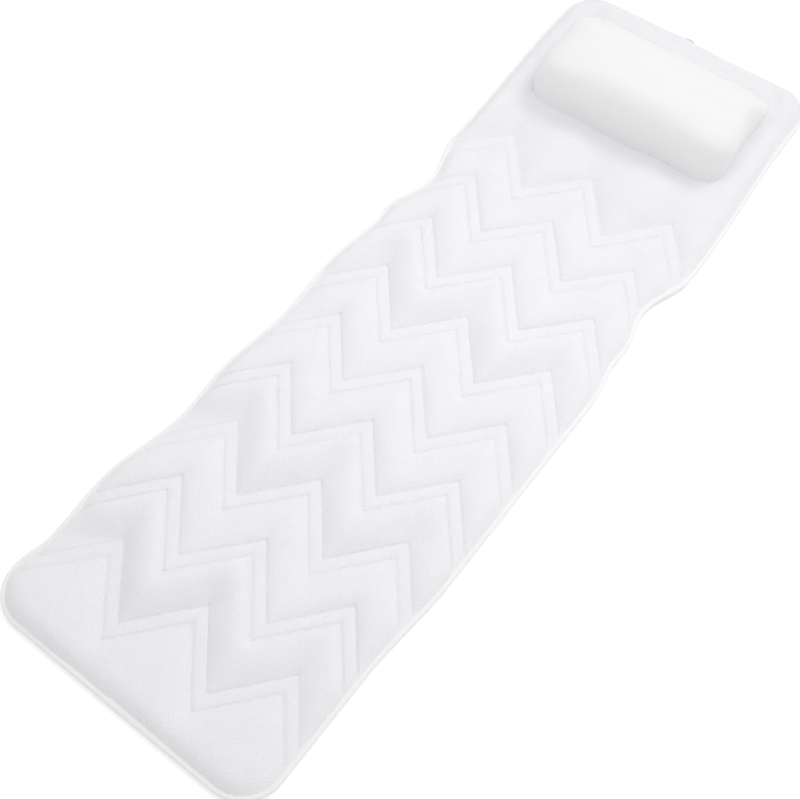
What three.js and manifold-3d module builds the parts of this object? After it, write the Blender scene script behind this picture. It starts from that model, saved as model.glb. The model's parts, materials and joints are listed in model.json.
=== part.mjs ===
// Full-body bath pillow: a quilted spacer-mesh mat with a bound edge, a head pillow sewn on at one end,
// a hanging loop and suction cups underneath.
// Millimetres. +Z is up, +Y runs from the foot end to the head end, +X is to the right seen from the foot end.
// The origin lies under the middle of the whole object, on the surface that the suction cups stand on.
import * as THREE from "three";
import { mergeVertices } from "three/addons/utils/BufferGeometryUtils.js";
import Module from "manifold-3d";

// Mat outline
const MAT_LENGTH = 1260;
const MAT_WIDTH = 392;
const CORNER_RADIUS = 52;
const NECK_FROM_HEAD = 463; // head edge to the middle of the neck, where the mat folds at the shoulders
const NECK_DEPTH = 21; // how far each side draws in at the neck
const NECK_HALF_SPAN = 86;
const SCALLOP_PITCH = 205; // the long sides draw in a little where the quilting pulls on them
const LEFT_SCALLOP = { depth: 7, fromFoot: 90 };
const RIGHT_SCALLOP = { depth: 4, fromFoot: 195 };

// Folds
const SEAT_LENGTH = 395; // foot edge to the fold between seat and back
const SECTION_GAP = 0.4;

// Zigzag quilting: each row is a pair of stitch lines, one nearer the head and its twin nearer the foot
const QUILT_ROWS = 9;
const ROW_PITCH = 98.75;
const LAST_ROW_FROM_FOOT = 111; // foot edge to the middle of the last row's head-side line
const ZIGZAG_PITCH = 129; // peak to peak across the mat
const ZIGZAG_HEIGHT = 77; // valley to peak along the mat
const TWIN_LINE_GAP = 25; // between the two lines of a row, along the mat

// Layers, from the bottom up
const CLEARANCE = 0.3; // between pieces that lie on or in each other
const BACKING_THICKNESS = 1.6;
const FILL_UNDER_STITCH = 1.5;
const FILL_CROWN = 9.5;
const TOP_THICKNESS = 3.5;
const TOP_EDGE_THICKNESS = 2.2; // where the top mesh is pressed flat inside the binding

// Edge binding, a tape folded round the edge
const BINDING_LAP = 11;
const BINDING_WALL = 1.2;
const TUCK_CLEARANCE = 1; // between the binding's fold and the layers tucked into it

// Suction cups, each held by its neck in an eyelet in the backing
const CUP_RADIUS = 19;
const CUP_RIM = 2.5;
const CUP_HOLLOW = 2.8;
const CUP_HEIGHT = 6; // rim to the shoulder under the neck
const CUP_TRAVEL = 3; // how far the cup gives when the mat is pressed down
const CUP_NECK_RADIUS = 4;
const CUP_HEAD_RADIUS = 7;
const CUP_HEAD_THICKNESS = 2.4;
const CUP_SIDES = 12;
const EYELET_RADIUS = 10;
const EYELET_THICKNESS = 1.4;
const HEAD_CUP_ROW_PITCH = 230; // between the two rows of cups under the head section

// Head pillow
const PILLOW_LENGTH = 312; // across the mat
const PILLOW_DEPTH = 208; // along the mat
const PILLOW_HEIGHT = 77;
const PILLOW_FROM_HEAD = 44; // head edge to the back of the pillow
const PILLOW_FRONT_CORNER = 36;
const PILLOW_BACK_CORNER = 62;
const PILLOW_COVER_THICKNESS = 2.5;
const PILLOW_BASE_THICKNESS = 1.5;
const PILLOW_SEAM = 5; // base cloth that shows round the foot of the cover

// Hanging loop, a narrow tape sewn under the binding at the head edge
const LOOP_OFF_CENTRE = 16; // to the left of the middle
const LOOP_WIDTH = 22;
const LOOP_REACH = 10; // how far it stands out past the binding
const LOOP_TAPE_WIDTH = 5;
const LOOP_TAPE_THICKNESS = 1.6;

// Heights worked out from the layers, with the cups' rims at zero
const eyeletBottom = CUP_HEIGHT + CUP_TRAVEL + CLEARANCE;
const backingBottom = eyeletBottom + EYELET_THICKNESS + CLEARANCE;
const backingTop = backingBottom + BACKING_THICKNESS;
const fillBottom = backingTop + CLEARANCE;
const crownTop = fillBottom + FILL_CROWN + CLEARANCE + TOP_THICKNESS;
const edgeTop = backingTop + CLEARANCE + TOP_EDGE_THICKNESS;

// Places along the mat, with the loop counted in so that the origin is under the middle of everything
const footEdge = -(MAT_LENGTH + LOOP_REACH + CLEARANCE) / 2;
const headEdge = footEdge + MAT_LENGTH;
const neckY = headEdge - NECK_FROM_HEAD;
const seatFoldY = footEdge + SEAT_LENGTH;
const halfZigzag = ZIGZAG_HEIGHT / 2;
const tuckedInset = BINDING_WALL + TUCK_CLEARANCE; // outline to the edge of the layers
const lapInset = BINDING_LAP + TUCK_CLEARANCE; // outline to where the layers are free of the binding

const wasm = await Module();
wasm.setup();

const mix = (a, b, t) => a + (b - a) * t;
const sum = (list) => list.reduce((total, value) => total + value, 0);

// Solids

function solid(geometry) {
  const bare = new THREE.BufferGeometry();
  bare.setAttribute("position", geometry.getAttribute("position"));
  bare.setIndex(geometry.index);
  const merged = mergeVertices(bare, 1e-3);
  return new wasm.Manifold(
    new wasm.Mesh({
      numProp: 3,
      vertProperties: new Float32Array(merged.getAttribute("position").array),
      triVerts: new Uint32Array(merged.index.array),
    }),
  );
}

function geometryOf(made) {
  const { numProp, numVert, vertProperties, triVerts } = made.asOriginal().simplify(1e-3).getMesh();
  const positions = new Float32Array(numVert * 3);
  for (let i = 0; i < numVert; i++) {
    positions.set(vertProperties.subarray(i * numProp, i * numProp + 3), i * 3);
  }
  const geometry = new THREE.BufferGeometry();
  geometry.setAttribute("position", new THREE.BufferAttribute(positions, 3));
  geometry.setIndex(new THREE.BufferAttribute(new Uint32Array(triVerts), 1));
  geometry.computeVertexNormals();
  return geometry;
}

function indexed(points, triangles) {
  const geometry = new THREE.BufferGeometry();
  geometry.setAttribute("position", new THREE.Float32BufferAttribute(points.flat(), 3));
  geometry.setIndex(triangles.flat());
  return geometry;
}

// A profile of [radius, height] points turned about +Z.
function revolve(profile, sides) {
  const points = profile.map(([radius, height]) => new THREE.Vector2(radius, height));
  return new THREE.LatheGeometry(points, sides).rotateX(Math.PI / 2);
}

function cylinder(radius, bottom, top, sides, x, y) {
  return new THREE.CylinderGeometry(radius, radius, top - bottom, sides)
    .rotateX(Math.PI / 2)
    .translate(x, y, (bottom + top) / 2);
}

function box(low, high) {
  const size = high.map((value, axis) => value - low[axis]);
  const middle = high.map((value, axis) => (value + low[axis]) / 2);
  return new THREE.BoxGeometry(...size).translate(...middle);
}

// Mat outline

function neckPull(y) {
  const t = Math.min(1, Math.abs(y - neckY) / NECK_HALF_SPAN);
  return (NECK_DEPTH * (1 + Math.cos(Math.PI * t))) / 2;
}

function scallopPull(y, { depth, fromFoot }) {
  const wave = (1 + Math.cos((2 * Math.PI * (y - footEdge - fromFoot)) / SCALLOP_PITCH)) / 2;
  const fromEnd = Math.min(y - footEdge, neckY - y) - CORNER_RADIUS;
  return depth * wave * THREE.MathUtils.smoothstep(fromEnd, 0, CORNER_RADIUS);
}

// Half width of the mat at y, on the side where sign is -1 (left) or +1 (right).
function halfWidth(y, sign) {
  return MAT_WIDTH / 2 - neckPull(y) - scallopPull(y, sign < 0 ? LEFT_SCALLOP : RIGHT_SCALLOP);
}

// Quilted mat

// Triangle wave of the stitching: +1 at the peaks, which lie at the middle and one pitch to each side.
function zigzag(x) {
  const phase = Math.abs(x / ZIGZAG_PITCH) % 1;
  return 1 - 4 * Math.min(phase, 1 - phase);
}

const rowMiddle = (row) => footEdge + LAST_ROW_FROM_FOOT + (QUILT_ROWS - row) * ROW_PITCH;

// Rows between two others. A pad stands lower where the stitching leaves it less room than a whole band.
function mixRows(from, to, shares) {
  const room = (x) => to.y - from.y + (to.zig - from.zig) * halfZigzag * zigzag(x);
  return shares.map(([share, level]) => ({
    y: mix(from.y, to.y, share),
    zig: mix(from.zig, to.zig, share),
    level,
    lift: (x) => Math.min(1, room(x) / (ROW_PITCH - TWIN_LINE_GAP)),
  }));
}

// Grid rows from foot to head, reaching to edgeInset inside the outline. zig is how much of the zigzag a row
// follows, and level runs from 0, stitched down, to 1, full crown. Rows with level null are pressed flat at the
// edge and hold no fill.
function quiltRows(edgeInset) {
  const pad = [
    [0.26, 0.82],
    [0.5, 1],
    [0.74, 0.82],
  ];
  const edge = { zig: 0, level: null };
  const rows = [
    { ...edge, y: footEdge + edgeInset },
    { ...edge, y: footEdge + lapInset },
  ];
  let last = rows.at(-1);
  for (let row = QUILT_ROWS; row >= 1; row--) {
    const headLine = { y: rowMiddle(row), zig: 1, level: 0 };
    const twinLine = { ...headLine, y: headLine.y - TWIN_LINE_GAP };
    rows.push(...mixRows(last, twinLine, pad), twinLine, headLine);
    last = headLine;
  }
  const headLap = { ...edge, y: headEdge - lapInset };
  const flatFrom = { y: pillowFront - PILLOW_SEAM, zig: 0, level: 1 };
  const beforePillow = [[0.35, 0.85]];
  const underPillow = [
    [0.45, 1],
    [0.93, 1],
  ];
  rows.push(...mixRows(last, flatFrom, beforePillow), flatFrom, ...mixRows(flatFrom, headLap, underPillow));
  rows.push(headLap, { ...edge, y: headEdge - edgeInset });
  return rows;
}

// Grid columns from left to right, as functions of the half width at their place.
function quiltColumns(edgeInset) {
  const half = [
    ...[0, 0.5, 1].map((share) => ({ at: () => share * ZIGZAG_PITCH, level: 1 })),
    ...[1 / 3, 2 / 3].map((share) => ({
      at: (width) => mix(ZIGZAG_PITCH, width - lapInset, share),
      level: share < 0.5 ? 1 : 0.85,
    })),
    { at: (width) => width - lapInset, level: null },
    { at: (width) => width - edgeInset, level: null },
  ];
  const left = half.slice(1).reverse();
  return [...left.map((column) => ({ ...column, sign: -1 })), ...half.map((column) => ({ ...column, sign: 1 }))];
}

// Moves a point in one of the square corner blocks so that the block's edge becomes the corner's arc.
function roundCorner([x, y]) {
  const reach = [MAT_WIDTH / 2 - CORNER_RADIUS, MAT_LENGTH / 2 - CORNER_RADIUS];
  const matMiddle = (footEdge + headEdge) / 2;
  const across = Math.max(0, Math.abs(x) - reach[0]);
  const along = Math.max(0, Math.abs(y - matMiddle) - reach[1]);
  if (across === 0 || along === 0) return [x, y];
  const shrink = Math.max(across, along) / Math.hypot(across, along);
  return [
    Math.sign(x) * (reach[0] + across * shrink),
    matMiddle + Math.sign(y - matMiddle) * (reach[1] + along * shrink),
  ];
}

// Where a column meets a row. The half width depends on y and the zigzag's y on x, so the place is closed in on.
function gridPlace(row, { at, sign }) {
  let y = row.y;
  let x = 0;
  for (let round = 0; round < 30; round++) {
    x = sign * at(halfWidth(y, sign));
    y = row.y + row.zig * halfZigzag * zigzag(x);
  }
  return [x, y];
}

// Every grid point of the quilt: its place, and the fill's height there, or null where there is no fill.
function quiltGrid(edgeInset) {
  return quiltRows(edgeInset).map((row) =>
    quiltColumns(edgeInset).map((column) => {
      const place = gridPlace(row, column);
      const [x, y] = roundCorner(place);
      if (row.level === null || column.level === null) return { x, y, fill: null };
      const level = row.level * column.level * (row.lift ? row.lift(place[0]) : 1);
      return { x, y, fill: mix(FILL_UNDER_STITCH, FILL_CROWN, level) };
    }),
  );
}

// The edge of the quilt's grid as a closed loop, anticlockwise from the left corner of the foot end, with the
// outward normal at each point.
function outlineLoop(edgeInset) {
  const all = quiltGrid(edgeInset);
  const sides = all.slice(1, -1);
  const loop = [
    ...all[0],
    ...sides.map((row) => row.at(-1)),
    ...all.at(-1).toReversed(),
    ...sides.map((row) => row[0]).toReversed(),
  ];
  return loop.map(({ x, y }, i) => {
    const before = loop.at(i - 1);
    const after = loop[(i + 1) % loop.length];
    const along = [after.x - before.x, after.y - before.y];
    const length = Math.hypot(...along);
    return { x, y, normal: [along[1] / length, -along[0] / length] };
  });
}

const underTop = ({ fill }) => (fill === null ? backingTop + CLEARANCE : fillBottom + fill + CLEARANCE);
const overTop = (point) => underTop(point) + (point.fill === null ? TOP_EDGE_THICKNESS : TOP_THICKNESS);

// A closed solid between two heights over a grid of points.
function gridSolid(grid, lower, upper) {
  const rows = grid.length;
  const columns = grid[0].length;
  const points = [lower, upper].flatMap((height) => grid.flat().map((p) => [p.x, p.y, height(p)]));
  const at = (layer, i, j) => layer * rows * columns + i * columns + j;
  const triangles = [];
  const quad = (a, b, c, d) => triangles.push([a, b, c], [a, c, d]);
  for (let i = 0; i + 1 < rows; i++) {
    for (let j = 0; j + 1 < columns; j++) {
      quad(at(1, i, j), at(1, i, j + 1), at(1, i + 1, j + 1), at(1, i + 1, j));
      quad(at(0, i, j), at(0, i + 1, j), at(0, i + 1, j + 1), at(0, i, j + 1));
    }
    quad(at(0, i + 1, 0), at(0, i, 0), at(1, i, 0), at(1, i + 1, 0));
    const j = columns - 1;
    quad(at(0, i, j), at(0, i + 1, j), at(1, i + 1, j), at(1, i, j));
  }
  for (let j = 0; j + 1 < columns; j++) {
    quad(at(0, 0, j), at(0, 0, j + 1), at(1, 0, j + 1), at(1, 0, j));
    const i = rows - 1;
    quad(at(0, i, j + 1), at(0, i, j), at(1, i, j), at(1, i, j + 1));
  }
  return solid(indexed(points, triangles));
}

function backingSheet() {
  return gridSolid(quiltGrid(tuckedInset), () => backingBottom, () => backingTop);
}

// The binding's section, as [distance inside the outline, height] points: a tape folded round the edge.
function bindingSection() {
  const low = backingBottom - CLEARANCE;
  const high = edgeTop + CLEARANCE;
  const round = BINDING_WALL;
  return [
    [BINDING_LAP, low - BINDING_WALL],
    [BINDING_LAP, low],
    [BINDING_WALL, low],
    [BINDING_WALL, high],
    [BINDING_LAP, high],
    [BINDING_LAP, high + BINDING_WALL],
    [round, high + BINDING_WALL],
    [0, high],
    [0, low],
    [round, low - BINDING_WALL],
  ];
}

function bindingRing() {
  const stations = outlineLoop(0);
  const section = bindingSection();
  const points = stations.flatMap(({ x, y, normal }) =>
    section.map(([inside, z]) => [x - inside * normal[0], y - inside * normal[1], z]),
  );
  const triangles = [];
  stations.forEach((_, i) => {
    const next = (i + 1) % stations.length;
    section.forEach((_, k) => {
      const after = (k + 1) % section.length;
      const [a, b] = [i * section.length + k, i * section.length + after];
      const [c, d] = [next * section.length + after, next * section.length + k];
      triangles.push([a, b, c], [a, c, d]);
    });
  });
  return solid(indexed(points, triangles));
}

// Head pillow

const pillowFront = headEdge - PILLOW_FROM_HEAD - PILLOW_DEPTH;
const pillowBaseBottom = crownTop + CLEARANCE;
const pillowBottom = pillowBaseBottom + PILLOW_BASE_THICKNESS + CLEARANCE;

// A rounded rectangle of points, with the sides drawn in a little between the corners.
function pillowRing({ ends, front, back, grown, drawn, z }) {
  const cornerSteps = 4;
  const most = 0.45 * (back - front);
  const frontCorner = Math.min(most, PILLOW_FRONT_CORNER + grown);
  const backCorner = Math.min(most, PILLOW_BACK_CORNER + grown);
  const points = [];
  const corners = [
    { corner: frontCorner, sign: 1, y: front + frontCorner, from: -Math.PI / 2, between: [0, front + drawn] },
    { corner: backCorner, sign: 1, y: back - backCorner, from: 0, between: [ends - drawn, (front + back) / 2] },
    { corner: backCorner, sign: -1, y: back - backCorner, from: Math.PI / 2, between: [0, back - drawn] },
    { corner: frontCorner, sign: -1, y: front + frontCorner, from: Math.PI, between: [drawn - ends, (front + back) / 2] },
  ];
  for (const { corner, sign, y, from, between } of corners) {
    points.push([...between, z]);
    for (let i = 0; i <= cornerSteps; i++) {
      const angle = from + (Math.PI / 2) * (i / cornerSteps);
      const x = sign * (ends - corner);
      points.push([x + corner * Math.cos(angle), y + corner * Math.sin(angle), z]);
    }
  }
  return points;
}

// The pillow's crowned form, taken in by shrink on every side but the bottom, and carried straight down by sunk. The
// front stands steep, and the back slopes down to the mat.
function pillowForm(shrink, sunk) {
  const height = PILLOW_HEIGHT - shrink;
  const profile = [
    { rise: 0, front: 3, back: 2, ends: 4 },
    { rise: 0.3, front: 0, back: 9, ends: 0 },
    { rise: 0.6, front: 3, back: 31, ends: 5 },
    { rise: 0.83, front: 14, back: 60, ends: 17 },
    { rise: 0.95, front: 34, back: 90, ends: 42 },
  ];
  const ringAt = ({ front, back, ends, rise }, z) =>
    pillowRing({
      ends: PILLOW_LENGTH / 2 - shrink - ends,
      front: pillowFront + shrink + front,
      back: pillowFront + PILLOW_DEPTH - shrink - back,
      grown: -shrink,
      drawn: rise === 0 ? PILLOW_SEAM / 2 : 0,
      z,
    });
  const rings = profile.map((level) => ringAt(level, pillowBottom + level.rise * height));
  const bottom = pillowBottom - sunk;
  if (sunk > 0) rings.unshift(ringAt(profile[0], bottom));
  const count = rings[0].length;
  const points = rings.flat();
  const crown = points.push([0, sum(rings.at(-1).map((p) => p[1])) / count, pillowBottom + height]) - 1;
  const foot = points.push([0, pillowFront + PILLOW_DEPTH / 2, bottom]) - 1;
  const triangles = [];
  for (let k = 0; k < count; k++) {
    const next = (k + 1) % count;
    for (let ring = 0; ring + 1 < rings.length; ring++) {
      const [a, b] = [ring * count + k, ring * count + next];
      triangles.push([a, b, b + count], [a, b + count, a + count]);
    }
    const top = (rings.length - 1) * count;
    triangles.push([top + k, top + next, crown], [next, k, foot]);
  }
  return solid(indexed(points, triangles));
}

function pillowCover() {
  const hollow = pillowForm(PILLOW_COVER_THICKNESS, PILLOW_COVER_THICKNESS);
  return pillowForm(0, 0).subtract(hollow);
}

function pillowBase() {
  const shape = new THREE.Shape(
    pillowRing({
      ends: PILLOW_LENGTH / 2 + PILLOW_SEAM,
      front: pillowFront - PILLOW_SEAM,
      back: pillowFront + PILLOW_DEPTH + PILLOW_SEAM,
      grown: PILLOW_SEAM,
      drawn: 0,
      z: 0,
    }).map(([x, y]) => new THREE.Vector2(x, y)),
  );
  const cloth = new THREE.ExtrudeGeometry(shape, { depth: PILLOW_BASE_THICKNESS, bevelEnabled: false });
  return solid(cloth.translate(0, 0, pillowBaseBottom));
}

// Suction cups

// Cups stand in pairs in the middle of a quilted band, where the fill is thick enough for their heads.
const cupX = 0.75 * ZIGZAG_PITCH;
const bandMiddle = (row) => rowMiddle(row) - (TWIN_LINE_GAP + ROW_PITCH) / 2;
const headCupY = headEdge - PILLOW_FROM_HEAD - EYELET_RADIUS;
const cupRows = {
  seat: [QUILT_ROWS, QUILT_ROWS - 1, QUILT_ROWS - 2].map(bandMiddle),
  back: [4, 3].map(bandMiddle),
  head: [headCupY - HEAD_CUP_ROW_PITCH, headCupY],
};
const cups = Object.entries(cupRows).flatMap(([section, rows]) =>
  rows.flatMap((y) => [-cupX, cupX].map((x) => ({ section, x, y }))),
);

const headBottom = backingTop + CLEARANCE;
const headTop = headBottom + CUP_HEAD_THICKNESS;
const holeRadius = CUP_NECK_RADIUS + CLEARANCE;

function suctionCup() {
  const profile = [
    [0, CUP_HOLLOW],
    [CUP_RADIUS - CUP_RIM, 0],
    [CUP_RADIUS, 0],
    [CUP_RADIUS, 0.8],
    [(CUP_RADIUS + CUP_NECK_RADIUS) / 2, 0.7 * CUP_HEIGHT],
    [CUP_NECK_RADIUS, CUP_HEIGHT],
    [CUP_NECK_RADIUS, headBottom],
    [CUP_HEAD_RADIUS, headBottom],
    [CUP_HEAD_RADIUS - 1, headTop],
    [0, headTop],
  ];
  return revolve(profile, CUP_SIDES);
}

function eyelet() {
  const top = eyeletBottom + EYELET_THICKNESS;
  const profile = [
    [holeRadius, eyeletBottom],
    [EYELET_RADIUS, eyeletBottom],
    [EYELET_RADIUS, top],
    [holeRadius, top],
    [holeRadius, eyeletBottom],
  ];
  return revolve(profile, CUP_SIDES);
}

function cutAtCups(made, radius, bottom, top) {
  return cups.reduce(
    (left, { x, y }) => left.subtract(solid(cylinder(radius, bottom, top, CUP_SIDES, x, y))),
    made,
  );
}

// Hanging loop

// The tape stands on its edge and arches out from the binding, so a hook goes through from above.
function hangingLoop() {
  const arch = (halfSpan, reach, path) => {
    path.absellipse(0, 0, halfSpan, reach, 0, Math.PI, false, 0);
    return path;
  };
  const outer = arch(LOOP_WIDTH / 2, LOOP_REACH, new THREE.Shape()).getPoints(10);
  const innerHalf = LOOP_WIDTH / 2 - LOOP_TAPE_THICKNESS;
  const inner = arch(innerHalf, LOOP_REACH - LOOP_TAPE_THICKNESS, new THREE.Path()).getPoints(10);
  const shape = new THREE.Shape([...outer, ...inner.reverse()]);
  const tape = new THREE.ExtrudeGeometry(shape, { depth: LOOP_TAPE_WIDTH, bevelEnabled: false });
  const middle = (backingBottom + edgeTop) / 2;
  return tape.translate(-LOOP_OFF_CENTRE, headEdge + CLEARANCE, middle - LOOP_TAPE_WIDTH / 2);
}

// Materials

function cloth(color, roughness) {
  return new THREE.MeshStandardMaterial({ color, roughness, metalness: 0 });
}
const topMesh = cloth(0xf1f1f3, 0.95);
const fillMesh = cloth(0xe6e8ea, 1);
const backMesh = cloth(0xececee, 0.95);
const tape = cloth(0xf4f4f4, 0.8);
const smoothCover = cloth(0xf3f3f3, 0.75);
const foam = cloth(0xeeeadf, 1);
const clearVinyl = new THREE.MeshStandardMaterial({
  color: 0xdfe6ea,
  roughness: 0.2,
  metalness: 0,
  transparent: true,
  opacity: 0.6,
});

// Assembly

const bathPillow = new THREE.Group();

function add(name, geometry, material) {
  const mesh = new THREE.Mesh(geometry, material);
  mesh.name = name;
  bathPillow.add(mesh);
  return mesh;
}

const beyond = MAT_LENGTH; // past everything, for the slabs that cut the layers into sections
const sections = [
  { name: "seat", from: -beyond, to: seatFoldY },
  { name: "back", from: seatFoldY, to: neckY },
  { name: "head", from: neckY, to: beyond },
];

function sectionOf(made, { from, to }, left = -beyond, right = beyond) {
  const low = [left, from + SECTION_GAP / 2, -beyond];
  const high = [right, to - SECTION_GAP / 2, beyond];
  return geometryOf(made.intersect(solid(box(low, high))));
}

const grid = quiltGrid(tuckedInset);
const filledPart = grid.slice(2, -2).map((row) => row.slice(2, -2));
const quiltTop = gridSolid(grid, underTop, overTop);
const wholeFill = gridSolid(filledPart, () => fillBottom, ({ fill }) => fillBottom + fill);
const pocketTop = headTop + CUP_TRAVEL + CLEARANCE;
const quiltFill = cutAtCups(wholeFill, CUP_HEAD_RADIUS + CLEARANCE, fillBottom - CLEARANCE, pocketTop);
const backing = cutAtCups(backingSheet(), holeRadius, backingBottom - 1, backingTop + 1);
const binding = bindingRing();

for (const section of sections) {
  add(`quilt_top_${section.name}`, sectionOf(quiltTop, section), topMesh);
  add(`fill_${section.name}`, sectionOf(quiltFill, section), fillMesh);
  add(`backing_${section.name}`, sectionOf(backing, section), backMesh);
  if (section.name === "back") {
    add("binding_back_left", sectionOf(binding, section, -beyond, 0), tape);
    add("binding_back_right", sectionOf(binding, section, 0, beyond), tape);
  } else {
    add(`binding_${section.name}`, sectionOf(binding, section), tape);
  }
}

add("pillow_base", geometryOf(pillowBase()), backMesh);
add("pillow_core", geometryOf(pillowForm(PILLOW_COVER_THICKNESS + CLEARANCE, 0)), foam);
add("pillow_cover", geometryOf(pillowCover()), smoothCover);
add("hanging_loop", hangingLoop(), tape);

cups.forEach(({ section, x, y }, i) => {
  const first = cups.findIndex((cup) => cup.section === section);
  const label = `${section}_${i - first + 1}`;
  add(`suction_cup_${label}`, suctionCup(), clearVinyl).position.set(x, y, 0);
  add(`eyelet_${label}`, eyelet(), tape).position.set(x, y, 0);
});

export default bathPillow;
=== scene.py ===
# %% [markdown]
# # A full-body bath pillow
# The object is a quilted mat as long as a bath, with a head pillow sewn on at one end and suction cups
# below. The imported model gives the frame: bodies, joints and nodes in metres, with +Z up and the head end
# at +Y. Everything soft is made again here as cloth, and the CAD nodes that it replaces are hidden.

# %% Load the imported model
import json
import math

import bmesh
import bpy
import numpy as np
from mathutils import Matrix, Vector, kdtree, noise

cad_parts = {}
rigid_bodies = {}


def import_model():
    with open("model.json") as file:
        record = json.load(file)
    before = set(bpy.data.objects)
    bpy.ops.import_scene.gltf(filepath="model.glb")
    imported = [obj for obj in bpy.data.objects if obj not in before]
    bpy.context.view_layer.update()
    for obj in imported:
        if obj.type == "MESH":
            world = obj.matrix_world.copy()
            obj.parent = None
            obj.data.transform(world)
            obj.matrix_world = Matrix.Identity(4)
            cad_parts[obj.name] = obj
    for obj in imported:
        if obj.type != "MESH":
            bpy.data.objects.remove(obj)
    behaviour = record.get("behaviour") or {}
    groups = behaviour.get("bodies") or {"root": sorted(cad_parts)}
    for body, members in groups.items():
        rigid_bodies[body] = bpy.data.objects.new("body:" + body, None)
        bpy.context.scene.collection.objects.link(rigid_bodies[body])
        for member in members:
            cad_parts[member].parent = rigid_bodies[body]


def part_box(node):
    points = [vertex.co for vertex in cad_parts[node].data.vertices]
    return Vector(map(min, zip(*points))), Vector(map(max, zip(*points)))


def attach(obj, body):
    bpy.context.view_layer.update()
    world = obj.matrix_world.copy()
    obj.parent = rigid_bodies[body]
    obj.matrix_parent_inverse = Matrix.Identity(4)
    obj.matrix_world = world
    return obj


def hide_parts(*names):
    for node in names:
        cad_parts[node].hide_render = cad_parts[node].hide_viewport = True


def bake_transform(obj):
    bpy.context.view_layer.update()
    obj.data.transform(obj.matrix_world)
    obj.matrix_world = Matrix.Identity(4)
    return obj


for left_over in list(bpy.data.objects):
    bpy.data.objects.remove(left_over)
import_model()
scene = bpy.context.scene
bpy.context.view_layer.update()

# %% [markdown]
# ## Camera
# The photograph looks down at the mat from the right of its foot end, at about 60 degrees. The place, the
# turn and the lens were worked out from the corners of the zigzag stitching, which are known points on a
# flat mat. A camera could also be aimed with a Track To constraint, but then its small roll would need an
# extra empty.

# %% Camera
CAMERA_PLACE = (0.4029, -0.7703, 1.3082)
CAMERA_TURN_DEGREES = (29.715, -2.802, 37.209)
LENS_MM = 54.58
SENSOR_MM = 36.0

camera_data = bpy.data.cameras.new("photo_camera")
camera_data.lens = LENS_MM
camera_data.sensor_width = SENSOR_MM
camera_data.sensor_fit = "HORIZONTAL"
camera = bpy.data.objects.new("photo_camera", camera_data)
camera.location = CAMERA_PLACE
camera.rotation_euler = [math.radians(angle) for angle in CAMERA_TURN_DEGREES]
scene.collection.objects.link(camera)
scene.camera = camera
print("camera looks down at", round(90 - CAMERA_TURN_DEGREES[0], 1), "degrees")

# %% [markdown]
# ## Light
# White cloth on white shows its shape only by soft shading. A large lamp beyond the head end, on the
# right, leaves the slopes that face the foot and the left darker. A smaller one above the middle of the
# mat brightens it there, so the foot end comes out darker, as in the photograph. A pale fill comes from
# all round. Both are area lamps, because small ones would draw hard shadows along every stitch line.

# %% Lamps and world
scene.view_settings.view_transform = "Standard"

KEY_PLACE = Vector((0.75, 2.4, 3.2))
KEY_AIM = Vector((0.0, 0.0, 0.0))
KEY_SIZE = 1.8
KEY_WATTS = 29.0
TOP_PLACE = Vector((0.05, 0.05, 1.6))
TOP_AIM = Vector((0.05, 0.05, 0.0))
TOP_SIZE = 0.5
TOP_WATTS = 1.0
TOP_SPREAD_DEGREES = 90.0
FILL_STRENGTH = 0.785
PURE_WHITE = (1.0, 1.0, 1.0, 1.0)


def area_lamp(name, place, aim, size, watts):
    """A round area lamp at a place, turned towards a point."""
    data = bpy.data.lights.new(name, "AREA")
    data.shape = "DISK"
    data.size = size
    data.energy = watts
    lamp = bpy.data.objects.new(name, data)
    lamp.location = place
    lamp.rotation_euler = (aim - place).to_track_quat("-Z", "Y").to_euler()
    scene.collection.objects.link(lamp)
    return data


area_lamp("key_lamp", KEY_PLACE, KEY_AIM, KEY_SIZE, KEY_WATTS)
top_data = area_lamp("top_lamp", TOP_PLACE, TOP_AIM, TOP_SIZE, TOP_WATTS)
top_data.spread = math.radians(TOP_SPREAD_DEGREES)


def seen_directly(nodes, links):
    """1 for what the camera sees, also in gloss or through clear plastic, and 0 for lighting rays."""
    path = nodes.new("ShaderNodeLightPath")
    either = nodes.new("ShaderNodeMath")
    either.operation = "MAXIMUM"
    any_of_three = nodes.new("ShaderNodeMath")
    any_of_three.operation = "MAXIMUM"
    links.new(path.outputs["Is Camera Ray"], either.inputs[0])
    links.new(path.outputs["Is Glossy Ray"], either.inputs[1])
    links.new(either.outputs[0], any_of_three.inputs[0])
    links.new(path.outputs["Is Transmission Ray"], any_of_three.inputs[1])
    return any_of_three.outputs[0]


world = bpy.data.worlds.new("white_studio")
world.use_nodes = True
scene.world = world
sky = world.node_tree
sky.nodes.clear()
fill_light = sky.nodes.new("ShaderNodeBackground")
fill_light.inputs["Color"].default_value = PURE_WHITE
fill_light.inputs["Strength"].default_value = FILL_STRENGTH
white_wall = sky.nodes.new("ShaderNodeBackground")
white_wall.inputs["Color"].default_value = PURE_WHITE
white_wall.inputs["Strength"].default_value = 1.0
sky_mix = sky.nodes.new("ShaderNodeMixShader")
sky_out = sky.nodes.new("ShaderNodeOutputWorld")
sky.links.new(seen_directly(sky.nodes, sky.links), sky_mix.inputs[0])
sky.links.new(fill_light.outputs[0], sky_mix.inputs[1])
sky.links.new(white_wall.outputs[0], sky_mix.inputs[2])
sky.links.new(sky_mix.outputs[0], sky_out.inputs["Surface"])
print("two lamps and a fill of", FILL_STRENGTH)

# %% [markdown]
# ## Floor
# The floor is a plain white sheet. It keeps the soft shadow under the mat, and a little glow that lights
# nothing lifts the lit part of it to the white of the photograph without putting more light on the
# object.

# %% Floor
FLOOR_HALF = 6.0
FLOOR_WHITE = (0.94, 0.94, 0.94, 1.0)
FLOOR_GLOW = 0.32

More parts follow.
